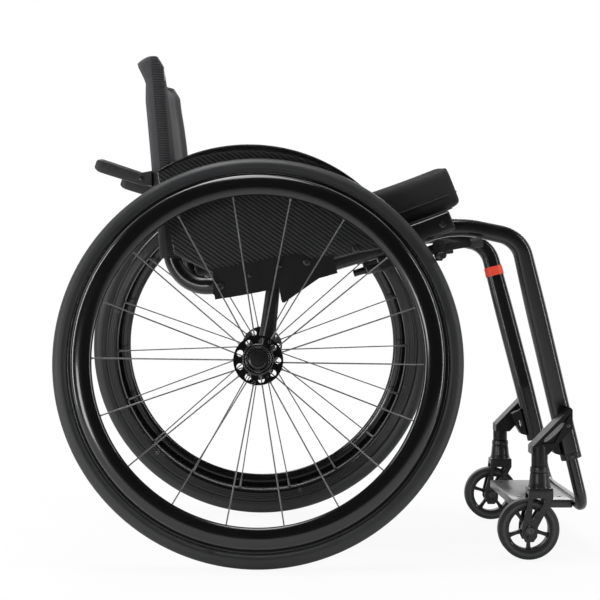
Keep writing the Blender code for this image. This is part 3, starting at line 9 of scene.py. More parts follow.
import bmesh
import bpy
import mathutils
import numpy as np
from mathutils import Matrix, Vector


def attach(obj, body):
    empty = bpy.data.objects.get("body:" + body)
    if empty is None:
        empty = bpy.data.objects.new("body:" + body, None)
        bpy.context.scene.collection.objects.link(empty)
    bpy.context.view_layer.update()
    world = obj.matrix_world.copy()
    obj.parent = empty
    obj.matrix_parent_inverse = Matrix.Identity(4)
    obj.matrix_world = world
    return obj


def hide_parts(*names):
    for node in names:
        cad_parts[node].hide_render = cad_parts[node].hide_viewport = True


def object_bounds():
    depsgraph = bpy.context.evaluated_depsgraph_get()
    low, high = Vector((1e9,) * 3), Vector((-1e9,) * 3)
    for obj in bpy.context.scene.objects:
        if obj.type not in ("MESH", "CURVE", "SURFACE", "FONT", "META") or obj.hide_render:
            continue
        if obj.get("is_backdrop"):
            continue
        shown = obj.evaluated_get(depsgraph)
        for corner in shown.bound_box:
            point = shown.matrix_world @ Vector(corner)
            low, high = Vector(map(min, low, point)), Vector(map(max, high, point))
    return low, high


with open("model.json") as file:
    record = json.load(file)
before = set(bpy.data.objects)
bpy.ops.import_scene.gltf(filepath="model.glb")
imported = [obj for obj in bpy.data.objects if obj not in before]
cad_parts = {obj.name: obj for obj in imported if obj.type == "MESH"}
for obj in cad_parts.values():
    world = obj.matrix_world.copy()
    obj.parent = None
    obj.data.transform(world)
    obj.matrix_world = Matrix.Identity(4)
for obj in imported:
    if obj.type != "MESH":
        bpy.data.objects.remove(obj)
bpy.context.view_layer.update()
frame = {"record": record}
joints = {joint["name"]: joint for joint in frame["record"]["behaviour"]["joints"]}
SIDES = (("right", -1), ("left", 1))
AXLE_X = joints["rear_wheel_right_spin"]["pos_m"][0]
AXLE_Z = joints["rear_wheel_right_spin"]["pos_m"][2]
CLEAR = 0.0003


# Rear tyres
# Each drive wheel carries a slick road tyre of black rubber, moulded round a casing and seated in
# the rim.  A pair of fine grooves parts the tread from the walls, and rings are moulded in the walls.

TYRE_R = 0.295
TYRE_HALF = 0.0125
TYRE_SEAT = 0.2736
SEAT_HALF = 0.0097
WHEEL_STEPS = 220
TYRE_GREY = (0.019, 0.0195, 0.021)
BEAD_AT = 126
GROOVE_AT, GROOVE_WIDE, GROOVE_DEEP = 33, 1.6, 0.0004
RINGS_AT, RING_WIDE, RING_TALL = (62, 71, 97), 1.7, 0.00025


def grid(points, ring=False, loop=False, ends=False, along=None, round_it=None):
    """A sheet through rows of points.  ring joins a row's last point to its first, loop the last row
    to the first, and ends closes the first and last row.  The map's u runs down the rows and its v
    across them, as the lengths in along and round_it, or else as whole numbers."""
    points = np.asarray(points, float)
    rows, cols = points.shape[:2]
    r = np.arange(rows if loop else rows - 1)[:, None]
    c = np.arange(cols if ring else cols - 1)[None, :]
    r, c = np.broadcast_arrays(r, c)
    corner_r = np.stack([r, r, r + 1, r + 1], -1).reshape(-1, 4)
    corner_c = np.stack([c, c + 1, c + 1, c], -1).reshape(-1, 4)
    faces = (corner_r % rows) * cols + corner_c % cols
    along = np.arange(rows + 1.0) if along is None else np.asarray(along, float)
    round_it = np.arange(cols + 1.0) if round_it is None else np.asarray(round_it, float)
    uv = np.stack([along[corner_r], round_it[corner_c]], -1).reshape(-1, 2)
    faces = faces.tolist()
    if ends:
        faces += [list(range(cols))[::-1], list(range((rows - 1) * cols, rows * cols))]
        uv = np.concatenate([uv, np.zeros((2 * cols, 2))])
    return points.reshape(-1, 3), faces, uv


def lengths(path, closed=False):
    """Distance run at each point of a path, from its start."""
    path = np.asarray(path, float)
    steps = np.linalg.norm(np.diff(path, axis=0), axis=1)
    run = np.concatenate([[0.0], np.cumsum(steps)])
    if closed:
        run = np.append(run, run[-1] + np.linalg.norm(path[0] - path[-1]))
    return run


def turned(profile, steps, space):
    """A closed outline of (radius, height) turned round an axis: point = centre + radius * (cos a *
    forward + sin a * across) + height * outward, for a full turn of a."""
    centre, forward, across, outward = space
    profile = np.asarray(profile, float)
    angle = np.linspace(0, 2 * math.pi, steps, endpoint=False)[:, None, None]
    around = np.cos(angle) * forward + np.sin(angle) * across
    points = centre + profile[None, :, :1] * around + profile[None, :, 1:] * outward
    along = np.linspace(0, 2 * math.pi * profile[:, 0].max(), steps + 1)
    return grid(points, ring=True, loop=True, along=along, round_it=lengths(profile, True))


def piece(name, shapes, body, look, stands_for=(), edge=0.0, sharp=40):
    """One object from several shapes, in place on its body, with its finish and its broken edges."""
    if isinstance(shapes, tuple):
        shapes = [shapes]
    spots, loops, maps = zip(*shapes)
    starts = np.cumsum([0] + [len(points) for points in spots]).tolist()
    faces = [[k + start for k in face] for start, loop in zip(starts, loops) for face in loop]
    mesh = bpy.data.meshes.new(name)
    mesh.from_pydata(np.concatenate(spots).tolist(), [], faces)
    layer = mesh.uv_layers.new(name="UVMap")
    layer.data.foreach_set("uv", np.concatenate(maps).ravel())
    bm = bmesh.new()
    bm.from_mesh(mesh)
    bmesh.ops.remove_doubles(bm, verts=bm.verts, dist=0.000002)
    bmesh.ops.recalc_face_normals(bm, faces=bm.faces)
    bm.to_mesh(mesh)
    bm.free()
    return dressed(name, mesh, body, look, stands_for, edge, sharp)


def dressed(name, mesh, body, look, stands_for=(), edge=0.0, sharp=40):
    """An object for a mesh, on its body, with its finish and, where asked, its edges broken."""
    mesh.shade_smooth()
    mesh.set_sharp_from_angle(angle=math.radians(sharp))
    mesh.materials.clear()
    mesh.materials.append(look.material)
    made = bpy.data.objects.new(name, mesh)
    bpy.context.scene.collection.objects.link(made)
    if edge:
        broken = made.modifiers.new("broken_edges", 'BEVEL')
        broken.width = edge
        broken.segments = 3
        broken.limit_method = 'ANGLE'
        broken.angle_limit = math.radians(32)
        broken.harden_normals = True
        broken.use_clamp_overlap = True
    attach(made, body)
    if stands_for:
        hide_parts(*([stands_for] if isinstance(stands_for, str) else stands_for))
    return made


class Value:
    """A number or colour that varies over a surface: operators on it add the Math nodes."""

    def __init__(self, look, socket):
        self.look, self.socket = look, socket

    def reckon(self, operation, *others):
        return self.look.node("ShaderNodeMath", (self, *others), operation=operation)

    def __add__(self, other):
        return self.reckon('ADD', other)

    def __sub__(self, other):
        return self.reckon('SUBTRACT', other)

    def __rsub__(self, other):
        return (self * -1.0).reckon('ADD', other)

    def __mul__(self, other):
        return self.reckon('MULTIPLY', other)

    def __truediv__(self, other):
        return self.reckon('DIVIDE', other)

    __radd__, __rmul__ = __add__, __mul__

    def wave(self, pitch):
        """Rises and falls from 0 to 1 and back in each pitch."""
        return (self * (2 * math.pi / pitch)).reckon('COSINE') * 0.5 + 0.5

    def step(self, low, high):
        """0 below low, 1 above high and smooth between."""
        return self.look.node("ShaderNodeMapRange", (self, low, high, 0.0, 1.0),
                              interpolation_type='SMOOTHSTEP')

    def away(self, middle):
        return (self - middle).reckon('ABSOLUTE')


class Look:
    """A Principled finish.  colour, roughness and the rest start plain and are then varied."""

    def __init__(self, name, colour, roughness, metallic=0.0, **plain):
        self.material = bpy.data.materials.new(name)
        self.material.use_nodes = True
        self.tree = self.material.node_tree
        self.shader = self.tree.nodes["Principled BSDF"]
        self.set("Base Color", (*colour, 1.0))
        self.set("Roughness", roughness)
        self.set("Metallic", metallic)
        self.material.diffuse_color = (*colour, 1.0)
        for socket, value in plain.items():
            self.set(socket.replace("_", " ").title().replace("Ior", "IOR"), value)

    def set(self, socket, value):
        place = self.shader.inputs[socket]
        if isinstance(value, Value):
            self.tree.links.new(value.socket, place)
        else:
            place.default_value = value

    def node(self, kind, values=(), output=0, **settings):
        """A node of a kind: its settings first, then its sockets, given in order or by name."""
        made = self.tree.nodes.new(kind)
        for setting, value in settings.items():
            setattr(made, setting, value)
        pairs = values.items() if isinstance(values, dict) else enumerate(values)
        for socket, value in pairs:
            if isinstance(value, Value):
                self.tree.links.new(value.socket, made.inputs[socket])
            elif value is not None:
                made.inputs[socket].default_value = value
        return Value(self, made.outputs[output])

    def place(self):
        """Object coordinates in metres."""
        return self.node("ShaderNodeTexCoord", output="Object")

    def axes(self):
        """Object coordinates, as their three numbers."""
        spot = self.place()
        return [self.node("ShaderNodeSeparateXYZ", (spot,), output=k) for k in (0, 1, 2)]

    def sheet_map(self):
        """The piece's own map, as its two coordinates in metres."""
        spot = self.node("ShaderNodeTexCoord", output="UV")
        return [self.node("ShaderNodeSeparateXYZ", (spot,), output=k) for k in (0, 1)]

    def noise(self, pitch, detail=2.0):
        """Cloudy noise from 0 to 1 whose patches measure about the pitch."""
        values = {"Vector": self.place(), "Scale": 1 / pitch, "Detail": detail}
        return self.node("ShaderNodeTexNoise", values)

    def mix(self, amount, first, second):
        """Colour between two colours by an amount from 0 to 1."""
        ends = [value if isinstance(value, Value) else (*value, 1.0) for value in (first, second)]
        return self.node("ShaderNodeMix", {0: amount, 6: ends[0], 7: ends[1]}, output=2, data_type='RGBA')

    def bump(self, height, depth):
        """Raises the surface by a height from 0 to 1 times a depth in metres."""
        values = {"Height": height, "Strength": 1.0, "Distance": depth}
        self.set("Normal", self.node("ShaderNodeBump", values))


def tones(colour, low, high):
    """Two shades of a colour, for a mix."""
    return tuple(c * low for c in colour), tuple(c * high for c in colour)


def rubber(name, colour, roughness, **plain):
    """Moulded rubber: fine pimples, dust-dulled patches and rings left by the mould's turning."""
    look = Look(name, colour, roughness, **plain)
    patches = look.noise(0.030, 3.0)
    grain = look.noise(0.0006, 2.0)
    u, v = look.sheet_map()
    rings = v.wave(0.0016)
    look.set("Base Color", look.mix(patches, *tones(colour, 0.85, 1.2)))
    look.set("Roughness", patches * 0.12 + grain * 0.08 + (roughness - 0.1))
    look.bump(grain * 0.6 + rings * 0.25, 0.00012)
    return look


tyre_look = rubber("tyre_rubber", TYRE_GREY, 0.46, specular_ior_level=0.5)


def wheel_space(word):
    """Centre of a drive wheel and its directions forward, across and outward along the axle."""
    spin = joints[f"rear_wheel_{word}_spin"]
    outward = np.array(spin["axis"], float)
    outward /= np.linalg.norm(outward)
    forward = np.array([1.0, 0.0, 0.0])
    return np.array(spin["pos_m"], float), forward, np.cross(outward, forward), outward


def tyre_profile():
    """Round the casing's circle from one bead to the other, then back across the seat.  Its radius
    dips by 0.4 mm in two grooves and rises by 0.25 mm in three rings on each wall."""
    angle = np.radians(np.linspace(-BEAD_AT, BEAD_AT, 101))
    ring_at = np.abs(np.degrees(angle))
    depth = -GROOVE_DEEP * np.exp(-((ring_at - GROOVE_AT) / GROOVE_WIDE) ** 2)
    for middle in RINGS_AT:
        depth = depth + RING_TALL * np.exp(-((ring_at - middle) / RING_WIDE) ** 2)
    radius = TYRE_R - TYRE_HALF + (TYRE_HALF + depth - RING_TALL * (ring_at > 45)) * np.cos(angle)
    height = (TYRE_HALF + depth - RING_TALL) * np.sin(angle)
    kept = radius > TYRE_SEAT + 0.0004
    wall = np.stack([radius[kept], height[kept]], -1)
    return np.concatenate([[(TYRE_SEAT, -SEAT_HALF)], wall, [(TYRE_SEAT, SEAT_HALF)]])


for word, side in SIDES:
    piece(f"road_tyre_{word}", turned(tyre_profile(), WHEEL_STEPS, wheel_space(word)), f"rear_wheel_{word}",
          tyre_look, f"rear_tyre_{word}", sharp=60)


# Rims
# A deep aluminium section, welded into a hoop, turned and anodised gloss black, with a rounded
# shoulder under the tyre, fine turned ridges on its walls and a hole with a ferrule at each spoke.

RIM_R = 0.2730
RIM_HALF = 0.0105
RIM_DEPTH = 0.021
RIDGES, FIRST_RIDGE, RIDGE_PITCH, RIDGE_HALF = 3, 0.0055, 0.0032, 0.0006
SPOKES = 18
FIRST_SPOKE = math.radians(18.9)
BLACK = (0.0025, 0.0025, 0.0030)


def gloss(name, colour, roughness, coat, lacquer=0.06, peel=0.006, deep=0.00003, **plain):
    """Black lacquer or plastic, glossy or satin: an even coat with a faint peel and dull patches."""
    look = Look(name, colour, roughness, coat_weight=coat, coat_roughness=lacquer, **plain)
    patches = look.noise(0.045, 3.0)
    skin = look.noise(peel, 1.0)
    look.set("Base Color", look.mix(patches, *tones(colour, 0.8, 1.3)))
    look.set("Roughness", patches * 0.10 + (roughness - 0.05))
    look.bump(skin, deep)
    return look


rim_look = gloss("rim_black", BLACK, 0.24, 0.3, specular_ior_level=0.4)


def rounded(points, radius, steps=4):
    """A closed outline with each corner cut to a round of a radius, or of its own radius.  Each
    round is a curve from one tangent point to the other, pulled towards the corner."""
    points = np.asarray(points, float)
    radii = np.broadcast_to(np.asarray(radius, float), (len(points),))
    before, after = np.roll(points, 1, 0) - points, np.roll(points, -1, 0) - points
    long_before, long_after = (np.linalg.norm(side, axis=1, keepdims=True) for side in (before, after))
    reach = np.minimum(radii[:, None], 0.45 * np.minimum(long_before, long_after))
    t = np.linspace(0, 1, steps + 1)[None, :, None]
    start = (points + before / long_before * reach)[:, None]
    stop = (points + after / long_after * reach)[:, None]
    curve = (1 - t) ** 2 * start + 2 * t * (1 - t) * points[:, None] + t ** 2 * stop
    return curve.reshape(-1, points.shape[1])


def rim_profile():
    """Outline of the rim's section: seat, shoulders, walls with three shallow ridges, inner wall."""
    wall = []
    for k in range(RIDGES):
        r = RIM_R - FIRST_RIDGE - RIDGE_PITCH * k
        wall += [(r, RIM_HALF - 0.0001), (r - RIDGE_HALF, RIM_HALF - 0.0005),
                 (r - 2 * RIDGE_HALF, RIM_HALF - 0.0001)]
    half = [(RIM_R, RIM_HALF - 0.0012), (RIM_R - 0.0012, RIM_HALF)] + wall + [
        (RIM_R - 0.016, RIM_HALF - 0.0004), (RIM_R - 0.0195, RIM_HALF - 0.004), (RIM_R - RIM_DEPTH, 0.003)]
    outline = half + [(r, -h) for r, h in reversed(half)]
    return rounded(outline, 0.0004, 2)


def carried(local, space):
    """Points given forward, across and outward from a centre, put in their place."""
    centre, forward, across, outward = space
    return centre + np.asarray(local, float) @ np.stack([forward, across, outward])


def rods(starts, stops, profile, sides=8):
    """Round bars, one from each start to its stop.  The profile lists (share of the length, added
    length, radius), and a ring of points of that radius stands square to the bar at each place."""
    starts, stops = np.atleast_2d(np.asarray(starts, float)), np.atleast_2d(np.asarray(stops, float))
    profile = np.asarray(profile, float)
    run = stops - starts
    long = np.linalg.norm(run, axis=1, keepdims=True)
    way = run / long
    other = np.where(np.abs(way[:, 2:]) < 0.9, np.array([[0, 0, 1.0]]), np.array([[1.0, 0, 0]]))
    across = np.cross(way, other)
    across /= np.linalg.norm(across, axis=1, keepdims=True)
    up = np.cross(way, across)
    angle = np.linspace(0, 2 * math.pi, sides, endpoint=False)
    at = profile[None, :, 0] * long + profile[None, :, 1]
    middle = starts[:, None] + way[:, None] * at[..., None]
    circle = (np.cos(angle)[None, :, None] * across[:, None] + np.sin(angle)[None, :, None] * up[:, None])
    points = middle[:, :, None] + circle[:, None] * profile[None, :, None, 2:]
    girth = np.linspace(0, 2 * math.pi * profile[:, 2].max(), sides + 1)
    return [grid(rings, ring=True, ends=True, along=run, round_it=girth) for rings, run in zip(points, at)]


def spoke_angles():
    return FIRST_SPOKE + 2 * math.pi * np.arange(SPOKES) / SPOKES


for word, side in SIDES:
    space = wheel_space(word)
    angle = spoke_angles()
    inner = RIM_R - RIM_DEPTH
    around = np.stack([np.cos(angle), np.sin(angle), np.zeros(SPOKES)], -1)
    ferrules = rods(carried(around * (inner - 0.0012), space), carried(around * (inner + 0.002), space),
                    [(0, 0, 0.0024), (0, 0.0004, 0.0029), (0, 0.0013, 0.0034), (1, 0, 0.0034)], 12)
    piece(f"rim_{word}", [turned(rim_profile(), WHEEL_STEPS, space)] + ferrules, f"rear_wheel_{word}",
          rim_look, f"rear_rim_{word}")


# Hubs and spokes
# The hub shell is turned from bar, with a flange for each set of spokes and a cap over the axle's
# end.  Nine lightening holes are drilled in the outer flange.  Eighteen straight steel spokes run
# by turns from either flange, each with a head at the hub and a nipple at the rim.

FLANGE_R = 0.0355
FLANGE_OUT = 0.022
FLANGE_THICK = 0.005
FLANGE_IN = 0.019
INNER_FLANGE_R = 0.0205
HUB_BODY_R = 0.0145
HUB_END = 0.029
HOLES = 9
HOLE_R = 0.0047
HOLE_CIRCLE = 0.0277
CAP_R = 0.0226
CAP_END = 0.047
WELL_R = 0.0147
WELL_FLOOR = 0.0315
BORE_R = 0.0064
SPOKE_R = 0.00105
HEAD_IN = 0.0022

hub_look = gloss("hub_black", BLACK, 0.22, 0.4, peel=0.005, deep=0.00002, specular_ior_level=0.4)
spoke_look = gloss("spoke_black", (0.13, 0.13, 0.135), 0.34, 0.1, peel=0.002, deep=0.00001, metallic=0.5)


def drilled_ring(inner, outer, hole_r, circle, count, low, high, first, space):
    """A flat ring with a circle of holes.  It is a fan of like sectors.  In each, rays leave the
    hole's middle, and a point lies between the hole's edge and the sector's edge along its ray:
    P = hole edge + s * (sector edge - hole edge)."""
    half = math.pi / count
    rays = np.linspace(0, 2 * math.pi, 48, endpoint=False)
    way = np.stack([np.cos(rays), np.sin(rays)], -1)
    middle = np.array([circle, 0.0])
    reach = np.full(len(rays), 9.0)
    for sign in (-1, 1):
        normal = np.array([-math.sin(half), sign * math.cos(half)])
        speed = way @ normal
        gap = -(middle @ normal)
        with np.errstate(divide="ignore", invalid="ignore"):
            hit = np.where(speed > 1e-9, gap / speed, 9.0)
        reach = np.minimum(reach, hit)
    along, square = way @ middle, middle @ middle
    reach = np.minimum(reach, -along + np.sqrt(along ** 2 - square + outer ** 2))
    under = along ** 2 - square + inner ** 2
    hits = -along - np.sqrt(np.maximum(under, 0))
    reach = np.where((under > 0) & (hits > 0), np.minimum(reach, hits), reach)
    share = np.array([0, 0.12, 0.5, 1.0])[:, None, None]
    hole = middle + hole_r * way
    edge = middle + reach[:, None] * way
    flat = hole + share * (edge - hole)
    shapes = []
    for k in range(count):
        turn = first + 2 * half * k
        spin = np.array([[math.cos(turn), math.sin(turn)], [-math.sin(turn), math.cos(turn)]])
        turned_flat = flat @ spin
        levels = []
        for height, layers in ((low, turned_flat[::-1]), (high, turned_flat)):
            levels.append(np.concatenate([layers, np.full(layers.shape[:2] + (1,), height)], -1))
        shapes.append(grid(carried(np.concatenate(levels), space), ring=True, loop=True))
    return shapes


def hub_profile():
    """Outline of the shell's section, from the cap's rim down its outside and back up the bore."""
    cap = [(WELL_R, CAP_END - 0.0008), (WELL_R + 0.0008, CAP_END), (0.0172, CAP_END),
           (0.0176, CAP_END - 0.0005), (0.0182, CAP_END - 0.0005), (0.0186, CAP_END),
           (CAP_R - 0.0016, CAP_END), (CAP_R, CAP_END - 0.0016),
           (CAP_R, 0.0405), (CAP_R - 0.0006, 0.0400), (CAP_R - 0.0006, 0.0392), (CAP_R, 0.0387),
           (CAP_R, FLANGE_OUT + FLANGE_THICK + 0.0003)]
    body = [(HUB_BODY_R + 0.007, FLANGE_OUT + 0.0002), (HUB_BODY_R + 0.002, FLANGE_OUT - 0.002),
            (HUB_BODY_R - 0.001, FLANGE_OUT - 0.008), (HUB_BODY_R - 0.0012, 0.0),
            (HUB_BODY_R, -FLANGE_IN + 0.003),
            (HUB_BODY_R + 0.003, -FLANGE_IN), (INNER_FLANGE_R - 0.0008, -FLANGE_IN),
            (INNER_FLANGE_R, -FLANGE_IN - 0.0008), (INNER_FLANGE_R, -FLANGE_IN - FLANGE_THICK + 0.0008),
            (INNER_FLANGE_R - 0.0008, -FLANGE_IN - FLANGE_THICK), (HUB_BODY_R, -FLANGE_IN - FLANGE_THICK),
            (HUB_BODY_R - 0.0008, -HUB_END + 0.0006), (HUB_BODY_R - 0.0016, -HUB_END),
            (BORE_R, -HUB_END), (BORE_R, WELL_FLOOR), (WELL_R, WELL_FLOOR)]
    return rounded(cap + body, 0.0002, 1)


def spoke_ends(space):
    """Both ends of every spoke, the even ones from the outer flange and the odd from the inner."""
    angle = spoke_angles()
    out = np.arange(SPOKES) % 2 == 0
    radius = np.where(out, FLANGE_R, INNER_FLANGE_R) - HEAD_IN
    height = np.where(out, FLANGE_OUT + FLANGE_THICK / 2, -FLANGE_IN - FLANGE_THICK / 2)
    around = np.stack([np.cos(angle), np.sin(angle)], -1)
    near = np.concatenate([around * radius[:, None], height[:, None]], -1)
    far = np.concatenate([around * (RIM_R - RIM_DEPTH + 0.001), (height * 0.06)[:, None]], -1)
    return carried(near, space), carried(far, space)


for word, side in SIDES:
    space = wheel_space(word)
    holes_from = FIRST_SPOKE + math.pi / HOLES
    flange = drilled_ring(HUB_BODY_R, FLANGE_R, HOLE_R, HOLE_CIRCLE, HOLES, FLANGE_OUT,
                          FLANGE_OUT + FLANGE_THICK, holes_from, space)
    piece(f"hub_{word}", [turned(hub_profile(), 96, space)] + flange, f"rear_wheel_{word}",
          hub_look, f"spoked_hub_{word}", sharp=30)
    starts, stops = spoke_ends(space)
    wire = [(0, -0.0004, 0.0019), (0, 0.0030, 0.0019), (0, 0.0042, SPOKE_R), (1, -0.0165, SPOKE_R),
            (1, -0.0160, 0.0014), (1, -0.0145, 0.0018), (1, 0, 0.0020)]
    piece(f"spokes_{word}", rods(starts, stops, wire, 8), f"rear_wheel_{word}", spoke_look)


# Hand hoops
# The user drives the chair by a flattened aluminium hoop, rolled, welded and anodised gloss black.
# It stands off the rim on six short posts, each screwed through the rim from its inner side.

HOOP_R = 0.2490
HOOP_TALL = 0.030
HOOP_THICK = 0.014
HOOP_OUT = 0.040
HOOP_POSTS = 6
POST_R = 0.0035
POST_FOOT_R = 0.0052
POST_CIRCLE = RIM_R - 0.0125
POST_SCREW = (0.0038, 0.0022)

hoop_look = gloss("handrim_black", BLACK, 0.20, 0.45, specular_ior_level=0.45)


def mottled(look, patch, dark, pale, grain, spread, least, detail=3.0):
    """Varies a finish: two shades in patches, and a roughness that a grain raises from the least."""
    look.set("Base Color", look.mix(look.noise(patch), dark, pale))
    look.set("Roughness", look.noise(grain, detail) * spread + least)
    return look


steel_look = mottled(Look("screw_steel", (0.08, 0.08, 0.083), 0.30, 1.0), 0.0012, (0.055, 0.055, 0.057),
                     (0.11, 0.11, 0.115), 0.002, 0.16, 0.20)


def oval(wide, tall, count=32):
    """Points round an ellipse: half the width times cos a, half the height times sin a."""
    angle = np.linspace(0, 2 * math.pi, count, endpoint=False)
    return np.stack([wide / 2 * np.cos(angle), tall / 2 * np.sin(angle)], -1)


def facing(centre, way):
    """A space whose outward direction is a given one."""
    outward = np.asarray(way, float) / np.linalg.norm(way)
    other = np.array([0, 0, 1.0]) if abs(outward[2]) < 0.9 else np.array([1.0, 0, 0])
    forward = np.cross(other, outward)
    forward /= np.linalg.norm(forward)
    return np.asarray(centre, float), forward, np.cross(outward, forward), outward


def socket_screw(centre, way, radius, tall):
    """Head of a socket screw.  Its rings are circles down its outside and six-sided in its socket,
    where the radius is 0.42 of the head's over the cosine of the angle to the nearest flat."""
    turn = np.linspace(0, 2 * math.pi, 36, endpoint=False)
    flat = np.cos((turn + math.pi / 6) % (math.pi / 3) - math.pi / 6)
    plain = np.ones_like(turn)
    rows = [(1.0, 0.0, plain), (1.0, 0.75, plain), (0.95, 0.93, plain), (0.86, 1.0, plain),
            (0.46, 1.0, 1 / flat), (0.42, 0.92, 1 / flat), (0.42, 0.35, 1 / flat)]
    out = np.stack([share * shape for share, level, shape in rows]) * radius
    level = np.array([level for share, level, shape in rows])[:, None] * tall * plain
    local = np.stack([out * np.cos(turn), out * np.sin(turn), level], -1)
    return grid(carried(local, facing(centre, way)), ring=True, ends=True)


def screws(name, heads, body):
    """Steel screw heads on a body."""
    piece(name, heads, body, steel_look, sharp=30)


for word, side in SIDES:
    space = wheel_space(word)
    section = oval(HOOP_TALL, HOOP_THICK, 28) + np.array([HOOP_R, HOOP_OUT])
    angle = 2 * math.pi * (np.arange(HOOP_POSTS) + 0.25) / HOOP_POSTS
    ring = np.stack([np.cos(angle), np.sin(angle)], -1) * POST_CIRCLE
    feet = np.concatenate([ring, np.full((HOOP_POSTS, 1), RIM_HALF + CLEAR)], -1)
    tops = np.concatenate([ring, np.full((HOOP_POSTS, 1), HOOP_OUT - 0.0015)], -1)
    post = [(0, 0, POST_FOOT_R), (0, 0.0020, POST_FOOT_R), (0, 0.0028, POST_R), (1, 0, POST_R)]
    posts = rods(carried(feet, space), carried(tops, space), post, 20)
    piece(f"hand_hoop_{word}", [turned(section, 240, space)] + posts, f"rear_wheel_{word}",
          hoop_look, f"handrim_{word}", sharp=50)
    backs = np.concatenate([ring, np.full((HOOP_POSTS, 1), -RIM_HALF - 0.0001)], -1)
    heads = [socket_screw(spot, -space[3], *POST_SCREW) for spot in carried(backs, space)]
    screws(f"hoop_screws_{word}", heads, f"rear_wheel_{word}")


# Axles and their release buttons
# A hollow steel axle runs through each hub into the camber tube.  A domed black button in the
# hub's cap, turned with a ring for the fingertip, is pressed to free it.

BUTTON_R = 0.0143
BUTTON_FRONT = 0.0485
BUTTON_BACK = 0.0358
PLUNGER_R = 0.003
PLUNGER_LONG = 0.0105

button_look = gloss("button_plastic", (0.007, 0.007, 0.008), 0.30, 0.2, peel=0.004, specular_ior_level=0.4)


def spun(profile, steps, space):
    """Rings from a profile of (radius, height) round an axis, with a flat face at each end: point =
    centre + radius * (cos a * forward + sin a * across) + height * outward."""
    centre, forward, across, outward = space
    profile = np.asarray(profile, float)
    angle = np.linspace(0, 2 * math.pi, steps, endpoint=False)[None, :, None]
    around = np.cos(angle) * forward + np.sin(angle) * across
    points = centre + profile[:, None, :1] * around + profile[:, None, 1:] * outward
    girth = np.linspace(0, 2 * math.pi * profile[:, 0].max(), steps + 1)
    return grid(points, ring=True, ends=True, along=lengths(profile), round_it=girth)


def kept(node, look):
    """A CAD piece that stays as it is, with its finish."""
    mesh = bpy.data.objects[node].data
    mesh.materials.clear()
    mesh.materials.append(look.material)


for word, side in SIDES:
    space = wheel_space(word)
    dome = [(0.0004, BUTTON_FRONT), (0.0050, BUTTON_FRONT - 0.0001), (0.0098, BUTTON_FRONT - 0.0005),
            (0.0101, BUTTON_FRONT - 0.0010), (0.0107, BUTTON_FRONT - 0.0010), (0.0110, BUTTON_FRONT - 0.0006),
            (BUTTON_R - 0.0010, BUTTON_FRONT - 0.0013), (BUTTON_R, BUTTON_FRONT - 0.0025),
            (BUTTON_R, BUTTON_BACK), (PLUNGER_R, BUTTON_BACK), (PLUNGER_R, BUTTON_BACK - PLUNGER_LONG)]
    piece(f"release_button_{word}", spun(dome, 72, space), f"axle_release_{word}",
          button_look, f"axle_button_{word}", sharp=30)
    kept(f"axle_pin_{word}", steel_look)


# Side guards
# Sheets of black twill carbon, moulded with a lip that turns outwards over the tyre and keeps
# clothes off it, cut at the foot to the bracket's line and screwed to the rail and the bracket.

RAIL_Y = 0.197
RAIL_WIDTH = 0.025
RAIL_TALL = 0.030
RAIL_Z = 0.4137
RAIL_SLOPE = 0.2009
RAIL_CURVE = 0.3466
RAIL_OUTER = RAIL_Y + RAIL_WIDTH / 2
GUARD_THICK = 0.002
GUARD_LEAN = 0.055
GUARD_CENTRE = (-0.0147, AXLE_Z + 0.0532)
GUARD_R = TYRE_R - 0.0356
GUARD_FROM, GUARD_TO = math.radians(121.2), math.radians(31)
GUARD_LIP = 0.021
LIP_ENDS = 0.77
LIP_POWER, LIP_DROP = 0.8, 0.35
LEAN_FROM = 0.004
GUARD_FOOT = ((-0.1236, 0.0345), (-0.0842, 0.0141), (-0.0640, 0.0035), (0.0540, 0.0263),
              (0.0790, 0.0182), (0.1461, 0.0360), (0.1750, 0.0412), (0.1930, 0.0450), (0.2060, 0.0570))
CHEEK_OUTER = RAIL_OUTER + 2 * CLEAR + GUARD_THICK + 0.003
TOW = 0.0018
TOW_TURN = math.radians(12)
# Two shades of black for the tows, a painted sheen: the paler one is for tows that catch the light.
TOW_PAINTED_SHADE, TOW_PAINTED_SHEEN = (0.0028, 0.0028, 0.0031), (0.030, 0.031, 0.033)
RAIL_SCREWS_AT = ((0.1418, 0.4563), (0.0703, 0.4366))
CHEEK_SCREWS_AT = ((-0.0131, 0.4169), (0.0309, 0.4307))
GUARD_SCREW = (0.0056, 0.0026)
CHEEK_SCREW = (0.0030, 0.0018)


def rail_pitch(x):
    return np.arctan(RAIL_SLOPE + 2 * RAIL_CURVE * x)


def rail_spot(x, y, off):
    """Place off the rail's centre line, square to it: (x - off sin p, y, z(x) + off cos p), where p is
    the rail's pitch there and x runs from the axle."""
    x, y, off = np.broadcast_arrays(*(np.asarray(value, float) for value in (x, y, off)))
    pitch = rail_pitch(x)
    height = RAIL_Z + RAIL_SLOPE * x + RAIL_CURVE * x * x
    return np.stack([AXLE_X + x - off * np.sin(pitch), y, height + off * np.cos(pitch)], -1)


